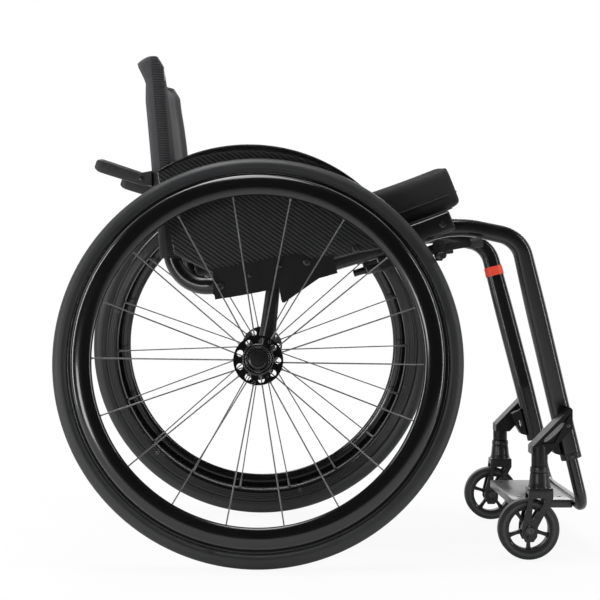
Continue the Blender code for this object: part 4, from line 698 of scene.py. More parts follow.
def guard_surface(side):
    """Rows from the rear to the front.  Each runs straight from the foot to the top edge and then
    round the lip: r = R - drop + drop * sin a, out by lip * (1 - cos a), with a from 0 to 90 degrees.
    Above the rail the sheet leans inwards by 55 mm a metre."""
    t = np.linspace(0, 1, 161)[:, None]
    x, rise = (np.interp(t * (len(GUARD_FOOT) - 1), np.arange(len(GUARD_FOOT)), column)
               for column in np.array(GUARD_FOOT).T)
    foot = np.stack([x, RAIL_Z + rise], -1)
    angle = GUARD_FROM + (GUARD_TO - GUARD_FROM) * t
    lip = GUARD_LIP * np.sin(math.pi * np.minimum(1, t / LIP_ENDS)) ** LIP_POWER + 0.0002
    drop = LIP_DROP * lip
    way = np.stack([np.cos(angle), np.sin(angle)], -1)
    v = np.linspace(0, 1, 45)[None, :, None]
    flat = foot + v * (np.array(GUARD_CENTRE) + (GUARD_R - drop)[..., None] * way - foot)
    out = np.radians(np.linspace(0, 90, 15))[None, 1:]
    curl = np.array(GUARD_CENTRE) + (GUARD_R - drop + drop * np.sin(out))[..., None] * way

    def inset(spots):
        off = RAIL_TALL / 2 + LEAN_FROM
        line = spots[..., 0] + off * np.sin(rail_pitch(spots[..., 0]))
        return GUARD_LEAN * np.maximum(0, spots[..., 1] - rail_spot(line, 0, off)[..., 2])

    middle = RAIL_OUTER + CLEAR + GUARD_THICK / 2
    y = np.concatenate([middle - inset(flat), middle - inset(flat[:, -1:]) + lip * (1 - np.cos(out))], 1)
    xz = np.concatenate([flat, curl], 1)
    return np.stack([AXLE_X + xz[..., 0], side * y, xz[..., 1]], -1)


def carbon():
    """Lacquered 2/2 twill: each tow passes over two and under two, and shifts by one from row to row.
    Each tow is rounded. The two directions and the tows' crowns are painted in two shades of black, a
    painted sheen for the light that the tows lying one way catch.  The cloth lies flat on the
    guard's side and goes on over the lip, so up is the height plus the way outwards."""
    look = Look("guard_carbon", (0.012, 0.012, 0.013), 0.30, coat_weight=0.6, coat_roughness=0.10,
                specular_ior_level=0.45)
    x, y, z = look.axes()
    up = z + y.away(0.0)
    warp = (x * math.cos(TOW_TURN) + up * math.sin(TOW_TURN)) / TOW
    weft = (up * math.cos(TOW_TURN) - x * math.sin(TOW_TURN)) / TOW
    step = (warp.reckon('FLOOR') + weft.reckon('FLOOR')).reckon('FLOORED_MODULO', 4.0)
    over = step.reckon('LESS_THAN', 1.5)
    along, across = warp.wave(1.0), weft.wave(1.0)
    crown = over * along + (1.0 - over) * across
    fibre = look.noise(0.0004, 2.0)
    tow = over * 0.8 + crown * 0.1 + fibre * 0.1
    # Painted sheen: the tows on top, and their rounded crowns, get a paler black for the light they catch.
    look.set("Base Color", look.mix(tow, TOW_PAINTED_SHADE, TOW_PAINTED_SHEEN))
    look.set("Roughness", tow * 0.12 + 0.26)
    look.bump(crown, 0.00006)
    return look


carbon_look = carbon()
for word, side in SIDES:
    points = guard_surface(side)
    width = lengths(points[60])
    guard = piece(f"guard_{word}", grid(points, along=points[:, 0, 0], round_it=width), "frame",
                  carbon_look, f"side_guard_{word}")
    wall = guard.modifiers.new("wall", 'SOLIDIFY')
    wall.thickness = GUARD_THICK
    wall.offset = 0
    faces = (side * (RAIL_OUTER + CLEAR + GUARD_THICK), side * CHEEK_OUTER)
    heads = [socket_screw((AXLE_X + x, y, z), (0, side, 0), *GUARD_SCREW)
             for (x, z), y in zip(RAIL_SCREWS_AT, faces)]
    heads += [socket_screw((AXLE_X + x, side * CHEEK_OUTER, z), (0, side, 0), *CHEEK_SCREW)
              for x, z in CHEEK_SCREWS_AT]
    screws(f"guard_screws_{word}", heads, "frame")


# Front frame tubes
# One hydroformed aluminium tube each side, from under the seat over a bend and down to the
# footrest, slim at the seat and deepest in the leg, powder-coated gloss black.

TUBE_WIDTH = 0.024
TUBE_DEEP_TOP = 0.026
TUBE_DEEP_LOW = 0.031
TUBE_REAR = 0.160
TUBE_TOP = (0.290, 0.4933)
TUBE_CORNER = (0.3862, 0.4729)
TUBE_LOW = (0.4466, 0.232)
TUBE_END = (0.4660, 0.152)
TUBE_LOW_Y = 0.155
TUBE_BENDS = (0.14, 0.044, 0.12)
TUBE_CORNER_R = 0.0105
TUBE_TOP_Y = RAIL_Y - RAIL_WIDTH / 2 - CLEAR - TUBE_WIDTH / 2
FOOT_WIDE = 0.016
FOOT_DEEP = 0.018
SLIP = 0.0008
BORE_DEEP = 0.074
SWELL_FROM, SWELL_OVER = 0.30, 0.35
SLIDE = np.array([TUBE_END[0] - TUBE_LOW[0], 0, TUBE_END[1] - TUBE_LOW[1]])
SLIDE /= np.linalg.norm(SLIDE)
AHEAD = np.array([-SLIDE[2], 0, SLIDE[0]])

frame_look = gloss("frame_gloss_black", BLACK, 0.28, 0.35, lacquer=0.14, specular_ior_level=0.45)


def bent(corners, radii, steps=16):
    """A route through corners, each rounded to an arc of its radius: point = centre + cos t * arm +
    sin t * square, where arm runs from the arc's centre to its start, and square is as long and
    points along the route there.  A corner of radius 0 stays."""
    corners = np.asarray(corners, float)
    route = [corners[:1]]
    for a, b, c, radius in zip(corners, corners[1:], corners[2:], radii):
        to_a, to_c = (end / np.linalg.norm(end) for end in (a - b, c - b))
        half = math.acos(to_a @ to_c) / 2
        if not radius:
            route.append(b[None])
            continue
        middle = (to_a + to_c) / np.linalg.norm(to_a + to_c)
        centre = b + middle * (radius / math.sin(half))
        arm = b + to_a * (radius / math.tan(half)) - centre
        t = np.linspace(0, math.pi - 2 * half, steps + 1)[:, None]
        route.append(centre + np.cos(t) * arm - np.sin(t) * to_a * radius)
    return np.concatenate(route + [corners[-1:]])


def finer(route, gap):
    """The same route with more points, at most a gap apart, between its own."""
    run = lengths(route)
    stops = [np.linspace(a, b, max(1, math.ceil((b - a) / gap)), endpoint=False)
             for a, b in zip(run, run[1:])]
    stops = np.append(np.concatenate(stops), run[-1])
    return np.stack([np.interp(stops, run, route[:, k]) for k in range(3)], -1)


def round_box(wide, tall, radius, steps=6):
    """A box's outline with round corners, anticlockwise from the first corner."""
    turn = np.radians(np.linspace(0, 90, steps + 1))
    corner = np.array([(1, 1), (-1, 1), (-1, -1), (1, -1)])[:, None]
    start = np.radians(np.array([0, 90, 180, 270]))[:, None]
    middle = corner * (np.array([wide, tall]) / 2 - radius)
    arc = np.stack([np.cos(start + turn), np.sin(start + turn)], -1) * radius
    return (middle + arc).reshape(-1, 2)


def stations(route, section, grow=1.0, up=None):
    """Rings along a route: point = route + a * across + b * up for each (a, b) of the section, times
    grow.  across lies sideways and square to the route, and up square to both, unless up is given."""
    route = np.asarray(route, float)
    along = np.gradient(route, axis=0)
    along /= np.linalg.norm(along, axis=1, keepdims=True)
    if up is None:
        across = np.array([0, 1.0, 0]) - along * along[:, 1:2]
        across /= np.linalg.norm(across, axis=1, keepdims=True)
        rise = np.cross(along, across)
    else:
        rise = np.broadcast_to(np.asarray(up, float), along.shape)
        across = np.cross(rise, along)
        across /= np.linalg.norm(across, axis=1, keepdims=True)
    if np.ndim(grow) < 2:
        grow = np.asarray(grow, float).reshape(-1, 1)
    grow = np.broadcast_to(grow, (len(route), 2))
    size = np.asarray(section, float)[None] * grow[:, None]
    return route[:, None] + size[..., :1] * across[:, None] + size[..., 1:] * rise[:, None]


def swept(route, section, grow=1.0, up=None):
    """A closed bar of a section along a route."""
    return grid(stations(route, section, grow, up), ring=True, ends=True, along=lengths(route),
                round_it=lengths(section, True))


def front_route(side):
    spots = ((TUBE_REAR, TUBE_TOP_Y, rail_spot(TUBE_REAR, 0, 0)[2] - 0.004),
             (TUBE_TOP[0], TUBE_TOP_Y, TUBE_TOP[1]),
             (TUBE_CORNER[0], TUBE_TOP_Y + 0.002, TUBE_CORNER[1]), (TUBE_LOW[0], TUBE_LOW_Y, TUBE_LOW[1]),
             (TUBE_END[0], TUBE_LOW_Y, TUBE_END[1]))
    return finer(bent([(AXLE_X + x, side * y, z) for x, y, z in spots], TUBE_BENDS), 0.01)


def tube_growth(route):
    """Width and depth factors: the depth swells between 30 and 65% of the length by s * s * (3 - 2 s)."""
    run = lengths(route)
    s = np.clip((run / run[-1] - SWELL_FROM) / SWELL_OVER, 0, 1)
    deep = (TUBE_DEEP_TOP + (TUBE_DEEP_LOW - TUBE_DEEP_TOP) * s * s * (3 - 2 * s)) / TUBE_DEEP_LOW
    return np.stack([np.ones_like(deep), deep], -1)


for word, side in SIDES:
    route = front_route(side)
    section = round_box(TUBE_WIDTH, TUBE_DEEP_LOW, TUBE_CORNER_R)
    skin = stations(route, section, tube_growth(route))
    bore = oval(FOOT_WIDE + SLIP, FOOT_DEEP + SLIP, len(section))
    low_end = np.array([route[-1], route[-1] - SLIDE * BORE_DEEP])
    inner = low_end[:, None] + bore[:, :1] * np.array([0, 1.0, 0]) + bore[:, 1:] * -AHEAD
    rows = np.concatenate([skin, inner])
    run = np.concatenate([lengths(route), lengths(route)[-1] + np.array([0.005, 0.079])])
    piece(f"frame_tube_{word}", grid(rows, ring=True, ends=True, along=run, round_it=lengths(section, True)),
          "frame", frame_look, f"front_tube_{word}", sharp=50)


# Seat rails
# A straight-sided aluminium rail with a gentle curve carries the seat on each side, closed at the
# front by a moulded cap, and clamped to the front tube by a screw from the outside.

RAIL_REAR = -0.040
RAIL_FRONT = 0.280
RAIL_CAP = 0.003
RAIL_CORNER_R = 0.005
RAIL_SCREW_X = 0.2684
RAIL_SCREW = (0.0050, 0.0022)

cap_look = mottled(Look("rail_cap", (0.010, 0.010, 0.011), 0.42), 0.002, (0.007, 0.007, 0.008),
                   (0.014, 0.014, 0.015), 0.004, 0.2, 0.34)
cap_look.bump(cap_look.noise(0.0005), 0.00004)

for word, side in SIDES:
    x = np.linspace(RAIL_REAR, RAIL_FRONT, 49)
    section = round_box(RAIL_WIDTH, RAIL_TALL, RAIL_CORNER_R)
    rows = rail_spot(x[:, None], side * RAIL_Y + section[:, 0], section[:, 1])
    piece(f"rail_{word}", grid(rows, ring=True, ends=True, along=x, round_it=lengths(section, True)),
          "frame", frame_look, f"seat_rail_{word}", sharp=50)
    pitch = rail_pitch(RAIL_FRONT)
    ahead = np.array([math.cos(pitch), 0, math.sin(pitch)])
    front = rail_spot(RAIL_FRONT, side * RAIL_Y, 0)
    stops = [front + ahead * past for past in (0.0002, 0.0003, RAIL_CAP * 0.7, RAIL_CAP)]
    lid = stations(stops, section, [0.96, 0.985, 0.985, 0.93], up=(-ahead[2], 0, ahead[0]))
    piece(f"rail_cap_{word}", grid(lid, ring=True, ends=True), "frame", cap_look)
    screw = rail_spot(RAIL_SCREW_X, side * RAIL_OUTER, -0.0012)
    screws(f"rail_screw_{word}", socket_screw(screw, (0, side, 0), *RAIL_SCREW), "frame")


# Axle brackets, carriers and the tubes across
# Forged brackets wrap the rails and the guards' feet.  A leaning leg hangs from each and clamps
# the camber tube, which holds the axles at their camber.  A plain tube braces the seat in front.

CAMBER = math.radians(6)
WHEEL_Y = 0.250
CAMBER_TUBE_R = 0.0175
CAMBER_BORE_R = 0.0105
CAMBER_HALF = 0.21896
CAMBER_Z = AXLE_Z - (WHEEL_Y - RAIL_Y) * math.tan(CAMBER)
CARRIER_FOOT_X = 0.0074
CARRIER_TOP_X = 0.0205
EYE_BORE_R = CAMBER_TUBE_R + 0.0001
EYE_R = CAMBER_TUBE_R + 0.006
EYE_HALF = 0.0135
LEG_LONG, LEG_WIDE, LEG_CORNER_R = 0.031, 0.024, 0.008
LEG_FOOT, LEG_TAPER = 0.86, 0.18
SADDLE_THICK = 0.005
CROSS_TUBE_R = 0.0125
CROSS_TUBE_X = 0.205

forged_look = gloss("fittings_gloss_black", BLACK, 0.42, 0.06, lacquer=0.30, peel=0.005,
                    specular_ior_level=0.30)


def cad_shape(node):
    """Copy of a CAD piece's shape, its doubled points merged and its flat faces made whole."""
    bm = bmesh.new()
    bm.from_mesh(bpy.data.objects[node].data)
    bmesh.ops.remove_doubles(bm, verts=bm.verts, dist=0.00001)
    bmesh.ops.dissolve_limit(bm, angle_limit=math.radians(1), verts=bm.verts, edges=bm.edges)
    bm.verts.ensure_lookup_table()
    points = np.array([vert.co[:] for vert in bm.verts])
    faces = [[vert.index for vert in face.verts] for face in bm.faces]
    bm.free()
    return points, faces, np.zeros((sum(len(face) for face in faces), 2))


def carved(name, node, body, look, edge):
    """A piece with the shape of a CAD piece that it stands for, its edges broken."""
    piece(name, cad_shape(node), body, look, node, edge=edge, sharp=30)


def plain_rod(start, stop, radius, sides):
    """One round bar of an even radius."""
    return rods(start, stop, [(0, 0, radius), (1, 0, radius)], sides)


def ring_wall(inner, outer, low, high, radius, steps):
    """Outline of a plain ring's section, its corners rounded."""
    return rounded([(inner, low), (outer, low), (outer, high), (inner, high)], radius, steps)


for word, side in SIDES:
    carved(f"bracket_{word}", f"axle_bracket_{word}", "frame", forged_look, 0.0008)
    foot = np.array([AXLE_X + CARRIER_FOOT_X, side * RAIL_Y, CAMBER_Z])
    section = round_box(LEG_LONG, LEG_WIDE, LEG_CORNER_R, 8)
    t = np.linspace(0, 1, 20)[:, None]
    x = CARRIER_FOOT_X + (CARRIER_TOP_X - CARRIER_FOOT_X) * t + section[:, 0] * (LEG_FOOT - LEG_TAPER * t)
    sole = -RAIL_TALL / 2 - 2 * CLEAR - SADDLE_THICK
    roof = rail_spot(x + sole * np.sin(rail_pitch(x)), 0, sole)[..., 2]
    rows = np.stack([AXLE_X + x, side * RAIL_Y + section[:, 1] + 0 * x,
                     CAMBER_Z + (roof - CAMBER_Z) * t], -1)
    leg = grid(rows, ring=True, ends=True)
    axis = facing((AXLE_X, side * RAIL_Y, CAMBER_Z), (0, 1, 0))
    eye = ring_wall(EYE_BORE_R, EYE_R, -EYE_HALF, EYE_HALF, 0.0012, 4)
    piece(f"carrier_{word}", [leg, turned(eye, 96, axis)], "frame", forged_look,
          f"axle_carrier_{word}")

wall = ring_wall(CAMBER_BORE_R, CAMBER_TUBE_R, -CAMBER_HALF, CAMBER_HALF, 0.0008, 3)
piece("axle_tube", turned(wall, 96, facing((AXLE_X, 0, CAMBER_Z), (0, 1, 0))), "frame",
      frame_look, "camber_tube")
brace = rail_spot(CROSS_TUBE_X, 0, 0) - np.array([0, 0, 0.002])
half = np.array([0, TUBE_TOP_Y - TUBE_WIDTH / 2 - CLEAR, 0])
piece("cross_tube", plain_rod(brace - half, brace + half, CROSS_TUBE_R, 64), "frame",
      frame_look, "seat_cross_tube")


# Accent band
# A thin red-orange sleeve of shrunk film lies round the left front tube just below its bend.

BAND_TALL = 0.015
BAND_THICK = 0.0006
BAND_Z = 0.428

band_look = mottled(Look("accent_red", (0.84, 0.072, 0.035), 0.38, specular_ior_level=0.4), 0.006,
                    (0.78, 0.060, 0.026), (0.90, 0.085, 0.045), 0.003, 0.2, 0.28, 2.0)

route = front_route(1)
inside = (np.abs(route[:, 2] - BAND_Z) < BAND_TALL / 2 + 0.012) & (route[:, 0] > AXLE_X + 0.38)
leg, deep = route[inside], tube_growth(route)[inside]
stops = np.linspace(BAND_Z + BAND_TALL / 2, BAND_Z - BAND_TALL / 2, 5)
places = np.stack([np.interp(-stops, -leg[:, 2], leg[:, k]) for k in range(3)], -1)
size = np.interp(-stops, -leg[:, 2], deep[:, 1])[:, None] * np.array([0, 1.0]) + np.array([1.0, 0])
section = round_box(TUBE_WIDTH, TUBE_DEEP_LOW, TUBE_CORNER_R)
outward = section / np.linalg.norm(section, axis=1, keepdims=True)
outer = stations(places, section + outward * (2 * CLEAR + BAND_THICK), size)
inner = stations(places, section + outward * CLEAR, size)
piece("red_band", grid(np.concatenate([outer, inner[::-1]]), ring=True, loop=True), "frame",
      band_look, "accent_band")


# Backrest tubes
# Two bent aluminium tubes turn on bolts in the brackets and fold forwards with the cloth between
# them.  A bar below the cloth holds them apart.

BACK_TUBE_R = 0.0125
PIVOT_X, PIVOT_Z = -0.056, 0.402
POST_Y = RAIL_Y - 0.0125
BACK_CORNER = (-0.1245, 0.3985)
BACK_BEND = 0.053
POST_MID = (-0.1390, 0.588)
POST_TOP = (-0.1515, 0.722)
BAR_Z = 0.470
BAR_R = 0.008
SLEEVE_LOW = 0.4424
KNUCKLE_BORE_R = 0.0044
PIVOT_BOLT_R = 0.004
PIVOT_HEAD = (0.006, 0.0024)
POST_LINE = np.array([(BACK_CORNER[0] - 0.0035, SLEEVE_LOW), POST_MID, POST_TOP])


def post_x(z):
    """Fore and aft place of the back post's middle at a height, in the chair's frame."""
    low, mid, top = POST_LINE
    below = low[0] + (mid[0] - low[0]) * (z - low[1]) / (mid[1] - low[1])
    above = mid[0] + (top[0] - mid[0]) * (z - mid[1]) / (top[1] - mid[1])
    return AXLE_X + np.where(z < mid[1], below, above)


for word, side in SIDES:
    spots = [(PIVOT_X - 0.0085, RAIL_Y, PIVOT_Z), (-0.0696, RAIL_Y, PIVOT_Z),
             (BACK_CORNER[0], POST_Y, BACK_CORNER[1]), (POST_MID[0], POST_Y, POST_MID[1]),
             (POST_TOP[0], POST_Y, POST_TOP[1])]
    route = finer(bent([(AXLE_X + x, side * y, z) for x, y, z in spots], (0, BACK_BEND, 0)), 0.012)
    pivot = np.array([AXLE_X + PIVOT_X, side * RAIL_Y, PIVOT_Z])
    knuckle = ring_wall(KNUCKLE_BORE_R, BACK_TUBE_R, -BACK_TUBE_R, BACK_TUBE_R, 0.0008, 3)
    piece(f"back_post_{word}", [swept(route, oval(2 * BACK_TUBE_R, 2 * BACK_TUBE_R, 32)),
                                turned(knuckle, 64, facing(pivot, (0, 1, 0)))], "backrest",
          frame_look, f"back_tube_{word}")
    head = side * (CHEEK_OUTER - 0.0007 + CLEAR)
    tail = side * (RAIL_Y - RAIL_WIDTH / 2 + CLEAR)
    seat = np.array([pivot[0], head, PIVOT_Z])
    shank = plain_rod(seat, (pivot[0], tail, PIVOT_Z), PIVOT_BOLT_R, 32)
    piece(f"pivot_bolt_{word}", [socket_screw(seat, (0, side, 0), *PIVOT_HEAD)] + shank, "frame",
          steel_look, f"backrest_bolt_{word}", sharp=30)
half = np.array([0, POST_Y - BACK_TUBE_R - CLEAR, 0])
middle = np.array([post_x(BAR_Z), 0, BAR_Z])
piece("spreader_bar", plain_rod(middle - half, middle + half, BAR_R, 48), "backrest",
      frame_look, "back_cross_bar")


# Back upholstery
# A panel of black spacer mesh hangs between the posts, on a sleeve round each.  Ribbed tension
# bands run up the sleeves' middles, and the panel's top and foot are bound with a folded tape.

COVER_HALF = POST_Y + 0.014
COVER_THIN = 0.011
COVER_BOW = 0.028
COVER_LOW = 0.505
SLEEVE_DEEP = 0.036
SLEEVE_FROM, ROUND_FROM, SLEEVE_RAMP = 0.80, 0.90, 0.10
COVER_LEVELS = np.array(((0.505, 0.0185, 0.0185), (0.545, 0.0190, 0.0190), (0.5867, 0.0190, 0.0190),
                         (0.6455, 0.0183, 0.0187), (0.6749, 0.0170, 0.0188), (0.7020, 0.0150, 0.0158),
                         (0.7130, 0.0146, 0.0200), (0.7235, 0.0142, 0.0243), (0.7285, 0.0118, 0.0262),
                         (0.7325, 0.0096, 0.0245), (0.7390, 0.0060, 0.0120)))
CLOTH = (0.040, 0.040, 0.043)
LINING = (0.13, 0.13, 0.135)
POST_LEAN = -0.084
POST_FOOT = AXLE_X - 0.0905
RIBS_HALF = 0.0070
RIB_PITCH = 0.0036
MESH_PITCH = 0.0016
SLEEVE_WIDE = 0.028
TAPE_WIDE, TAPE_THICK = 0.0125, 0.0045
TAPE_PITCH = 0.0014


def weave(u, v, pitch):
    """Plain weave: threads of the two directions pass over each other by turns, so the height is
    the size of cos u * cos v over the pitch."""
    check = (u * (math.pi / pitch)).reckon('COSINE') * (v * (math.pi / pitch)).reckon('COSINE')
    return check.reckon('ABSOLUTE')


def back_cloth():
    """Spacer mesh with a ribbed, darker band up the middle of each sleeve, and a paler lining on the
    panel's front, beside the sleeves."""
    look = Look("upholstery_cloth", CLOTH, 0.85, specular_ior_level=0.3, sheen_weight=0.12)
    x, y, z = look.axes()
    middle = x - (z * POST_LEAN + POST_FOOT)
    band = (1.0 - (middle - 0.002).away(0.0).step(RIBS_HALF, 0.0095)) * y.away(0.0).step(0.186, 0.190)
    ribs = z.wave(RIB_PITCH)
    mesh = weave(y, z, MESH_PITCH)
    fuzz = look.noise(0.012, 4.0)
    tone = fuzz * 0.35 + mesh * 0.45 + 0.2
    plain = look.mix(tone, *tones(CLOTH, 0.55, 1.7))
    ribbed = look.mix(ribs, *tones(CLOTH, 0.28, 0.85))
    lining = (x - z * POST_LEAN).step(POST_FOOT, AXLE_X - 0.0800) * (1.0 - y.away(0.0).step(0.150, 0.160))
    plain = look.mix(lining, plain, look.mix(tone, *tones(LINING, 0.8, 1.2)))
    look.set("Base Color", look.mix(band, plain, ribbed))
    look.set("Roughness", fuzz * 0.12 + 0.78)
    look.bump(mesh * (1.0 - band) * 0.35 + band * ribs, 0.0006)
    return look


def cover_rows(z):
    """One ring for each height: forward and back faces run from side to side by u = cos a.  The panel
    bows back by bow * (1 - u * u) and swells into a round sleeve beyond 80 to 90% of the half width."""
    fore, aft = (np.interp(z, COVER_LEVELS[:, 0], COVER_LEVELS[:, k])[:, None] for k in (1, 2))
    u = np.cos(np.linspace(0, math.pi, 101))[None]
    s = np.clip((np.abs(u) - SLEEVE_FROM) / SLEEVE_RAMP, 0, 1)
    sleeve = s * s * (3 - 2 * s)
    bow = COVER_BOW * (1 - u * u) * (1 - sleeve * 0.6)
    edge = np.sqrt(np.maximum(0, 1 - (np.maximum(0, np.abs(u) - ROUND_FROM) / SLEEVE_RAMP) ** 2))
    front = fore * edge - bow
    back = np.where(sleeve < 1, front - COVER_THIN - (fore + aft - COVER_THIN) * sleeve, -aft * edge)
    wide = COVER_HALF * u + 0 * front
    high = z[:, None] + 0 * front
    post = post_x(z)[:, None]
    faces = [np.stack([post + side, wide, high], -1) for side in (front, back)]
    return np.concatenate([faces[0], faces[1][:, -2:0:-1]], 1)


cloth_look = back_cloth()
tape_look = Look("binding_tape", (0.014, 0.014, 0.015), 0.7, specular_ior_level=0.35)
u, v = tape_look.sheet_map()
ribs = u.wave(TAPE_PITCH)
tape_look.set("Base Color", tape_look.mix(ribs, (0.008, 0.008, 0.009), (0.024, 0.024, 0.026)))
tape_look.set("Roughness", ribs * 0.15 + 0.6)

levels = np.unique(np.concatenate([np.linspace(COVER_LOW, 0.736, 40), [0.7375, 0.7384, 0.7390]]))
rows = cover_rows(levels)
centre_line = rows[-3:].mean(1, keepdims=True)
rows[-3:] = centre_line + (rows[-3:] - centre_line) * np.array([0.998, 0.992, 0.975])[:, None, None]
sleeves = []
for word, side in SIDES:
    z = np.linspace(SLEEVE_LOW, COVER_LOW + 0.012, 14)
    line = np.stack([post_x(z), side * POST_Y + 0 * z, z], -1)
    rings = line[:, None] + np.concatenate([oval(SLEEVE_DEEP, SLEEVE_WIDE, 40), np.zeros((40, 1))], -1)
    sleeves.append(grid(rings, ring=True, ends=True))
cover = piece("back_cloth", [grid(rows, ring=True, ends=True)] + sleeves, "backrest",
              cloth_look, "back_upholstery", sharp=60)
u = np.linspace(-0.83, 0.83, 41)
tapes = []
for z, fore in ((COVER_LOW + 0.002, 0.0185), (0.7350, 0.0095)):
    middle = post_x(np.array(z)) + fore - COVER_BOW * (1 - u * u) - COVER_THIN / 2
    route = np.stack([middle, COVER_HALF * u, z + 0 * u], -1)
    rings = stations(route, oval(TAPE_WIDE, TAPE_THICK, 20), up=(0, 0, 1))
    tapes.append(grid(rings, ring=True, ends=True, along=lengths(route)))
piece("back_tapes", tapes, "backrest", tape_look)


# Push handles
# Short bars of glass-filled plastic turn down on steel pins in small black brackets, which are
# bolted to the backs of the posts.

HANDLE_X, HANDLE_Z = -0.1730, 0.5595
HANDLE_REACH = 0.068
HANDLE_RISE = math.radians(18)
HANDLE_WIDE, HANDLE_TALL = 0.015, 0.018
PIN_OUT = 0.0141
PIN_HEAD = (0.0034, 0.0016)

handle_look = Look("handle_plastic", (0.016, 0.016, 0.017), 0.5, specular_ior_level=0.4)
grain = handle_look.noise(0.0007, 2.0)
worn = handle_look.noise(0.02, 2.0)
handle_look.set("Base Color", handle_look.mix(worn, (0.011, 0.011, 0.012), (0.024, 0.024, 0.026)))
handle_look.set("Roughness", grain * 0.15 + worn * 0.1 + 0.36)
handle_look.bump(grain, 0.00008)

for word, side in SIDES:
    pivot = np.array([AXLE_X + HANDLE_X, side * POST_Y, HANDLE_Z])
    back = np.array([-math.cos(HANDLE_RISE), 0, math.sin(HANDLE_RISE)])
    up = (math.sin(HANDLE_RISE), 0, math.cos(HANDLE_RISE))
    along = np.array([-0.0075, -0.0066, -0.0052, -0.0035, 0.006, 0.02, 0.035, 0.05, 0.060, 0.0635, 0.0660,
                      0.0690, HANDLE_REACH + 0.0025])
    size = np.array([0.55, 0.74, 0.88, 0.95, 1, 1.02, 1.04, 1.06, 1.06, 1.02, 0.92, 0.76, 0.55])
    bar = stations(pivot + along[:, None] * back, round_box(HANDLE_WIDE, HANDLE_TALL, 0.0055),
                   np.stack([size, size * 1.04], -1), up=up)
    piece(f"push_bar_{word}", grid(bar, ring=True, ends=True, along=along), f"push_handle_{word}",
          handle_look, f"push_handle_{word}")
    carved(f"push_bracket_{word}", f"handle_bracket_{word}", "backrest", handle_look,
           0.0009)
    heads = [socket_screw(pivot + np.array([0.001, way * PIN_OUT, 0]), (0, way, 0), *PIN_HEAD)
             for way in (-1, 1)]
    screws(f"push_screws_{word}", heads, "backrest")


# Seat sling
# Black webbing is stretched over both rails as one flat band, and the cushion lies on it.  The
# photograph hides it, so it is kept plain.

SLING_REAR = -0.036
SLING_FRONT = 0.289
SLING_THICK = 0.0022
SLING_HALF = RAIL_OUTER - 0.002
SLING_OFF = RAIL_TALL / 2 + CLEAR + 0.00125

sling_look = Look("sling_cloth", (0.020, 0.020, 0.022), 0.75, specular_ior_level=0.35)
u, v = sling_look.sheet_map()
threads = weave(u, v, 0.0012)
tone = threads * 0.6 + sling_look.noise(0.02) * 0.4
sling_look.set("Base Color", sling_look.mix(tone, (0.010, 0.010, 0.011), (0.034, 0.034, 0.036)))
sling_look.set("Roughness", threads * 0.15 + 0.65)
sling_look.bump(threads, 0.00015)

x = np.linspace(SLING_REAR, SLING_FRONT, 68)
fine = np.linspace(-1, 1, 61)
top = rail_spot(x[:, None], SLING_HALF * fine, SLING_OFF + SLING_THICK / 2)
low = rail_spot(x[:, None], SLING_HALF * fine[::-1], SLING_OFF - SLING_THICK / 2)
run = lengths(rail_spot(x, 0, SLING_OFF))
across = np.concatenate([SLING_HALF * fine, SLING_HALF * (fine + 2) + SLING_THICK,
                         [3 * SLING_HALF + 0.004]])
skin = grid(np.concatenate([top, low], 1), ring=True, ends=True, along=run, round_it=across)
sling = piece("sling", skin, "frame", sling_look, "seat_sling")


# Seat cushion
# A foam cushion in a black zipped cover with a blunt front.  Piping is sewn in round its sides, at
# a third of its height.  The cover is puffed a little by its foam.

CUSHION_HALF = RAIL_Y - 0.029
CUSHION_REAR, CUSHION_FRONT = -0.096, 0.312
CUSHION_THICK = 0.0615
CUSHION_CROWN = 0.0005
CUSHION_BASE = RAIL_TALL / 2 + 2 * CLEAR + 0.0025
PUFF = 0.003
SHRINK = 0.0012
VOXEL = 0.005
PRESSURE = 4.0
CLOTH_FRAMES = 20
NOSE_FROM = 0.975
TAIL_TO = 0.06
NOSE_RISE, TAIL_DROP = 0.045, 0.4
BOW_IN, END_IN, DRAW_IN = 0.003, 0.006, 0.004
SIDE_POWER, TOP_POWER = 0.14, 0.24
PIPING_AT = 0.30
PIPING_WIDE = 0.0034

cushion_look = Look("cushion_cloth", (0.016, 0.016, 0.0175), 0.88, specular_ior_level=0.25, sheen_weight=0.10)
x, y, z = cushion_look.axes()
threads = weave(x, y + z, 0.0011)
cushion_look.bump(threads, 0.00015)
clouds = cushion_look.noise(0.03, 3.0)
cushion_look.set("Base Color", cushion_look.mix(threads * 0.5 + clouds * 0.5, (0.007, 0.007, 0.008),
                                                (0.028, 0.028, 0.030)))
cushion_look.set("Roughness", clouds * 0.12 + 0.80)


def cushion_spot(t, a, h, less=0.0):
    """Place on the cushion: t from rear to front, a from side to side and h from foot to top, pulled in
    by less.  It is a little taller at its nose, lower at its tail and narrower at both, and its sides
    draw in by 4 mm between the corners."""
    nose = np.maximum(0, (t - NOSE_FROM) / (1 - NOSE_FROM))
    tail = np.maximum(0, (TAIL_TO - t) / TAIL_TO)
    tall = CUSHION_THICK * (1 + NOSE_RISE * nose ** 2 - TAIL_DROP * tail ** 2)
    half = CUSHION_HALF - BOW_IN * (2 * t - 1) ** 6 - END_IN * np.maximum(nose, tail) ** 4
    crown = CUSHION_CROWN * (1 - a * a) * (1 - (2 * t - 1) ** 4) * h ** 4
    x = CUSHION_REAR + less + (CUSHION_FRONT - CUSHION_REAR - 2 * less) * t
    draw = DRAW_IN * np.sin(math.pi * t) * np.sin(math.pi * np.clip(h, 0, 1)) ** 0.5
    return rail_spot(x, (half - less - draw) * a, CUSHION_BASE + less + (tall - 2 * less) * h + crown)


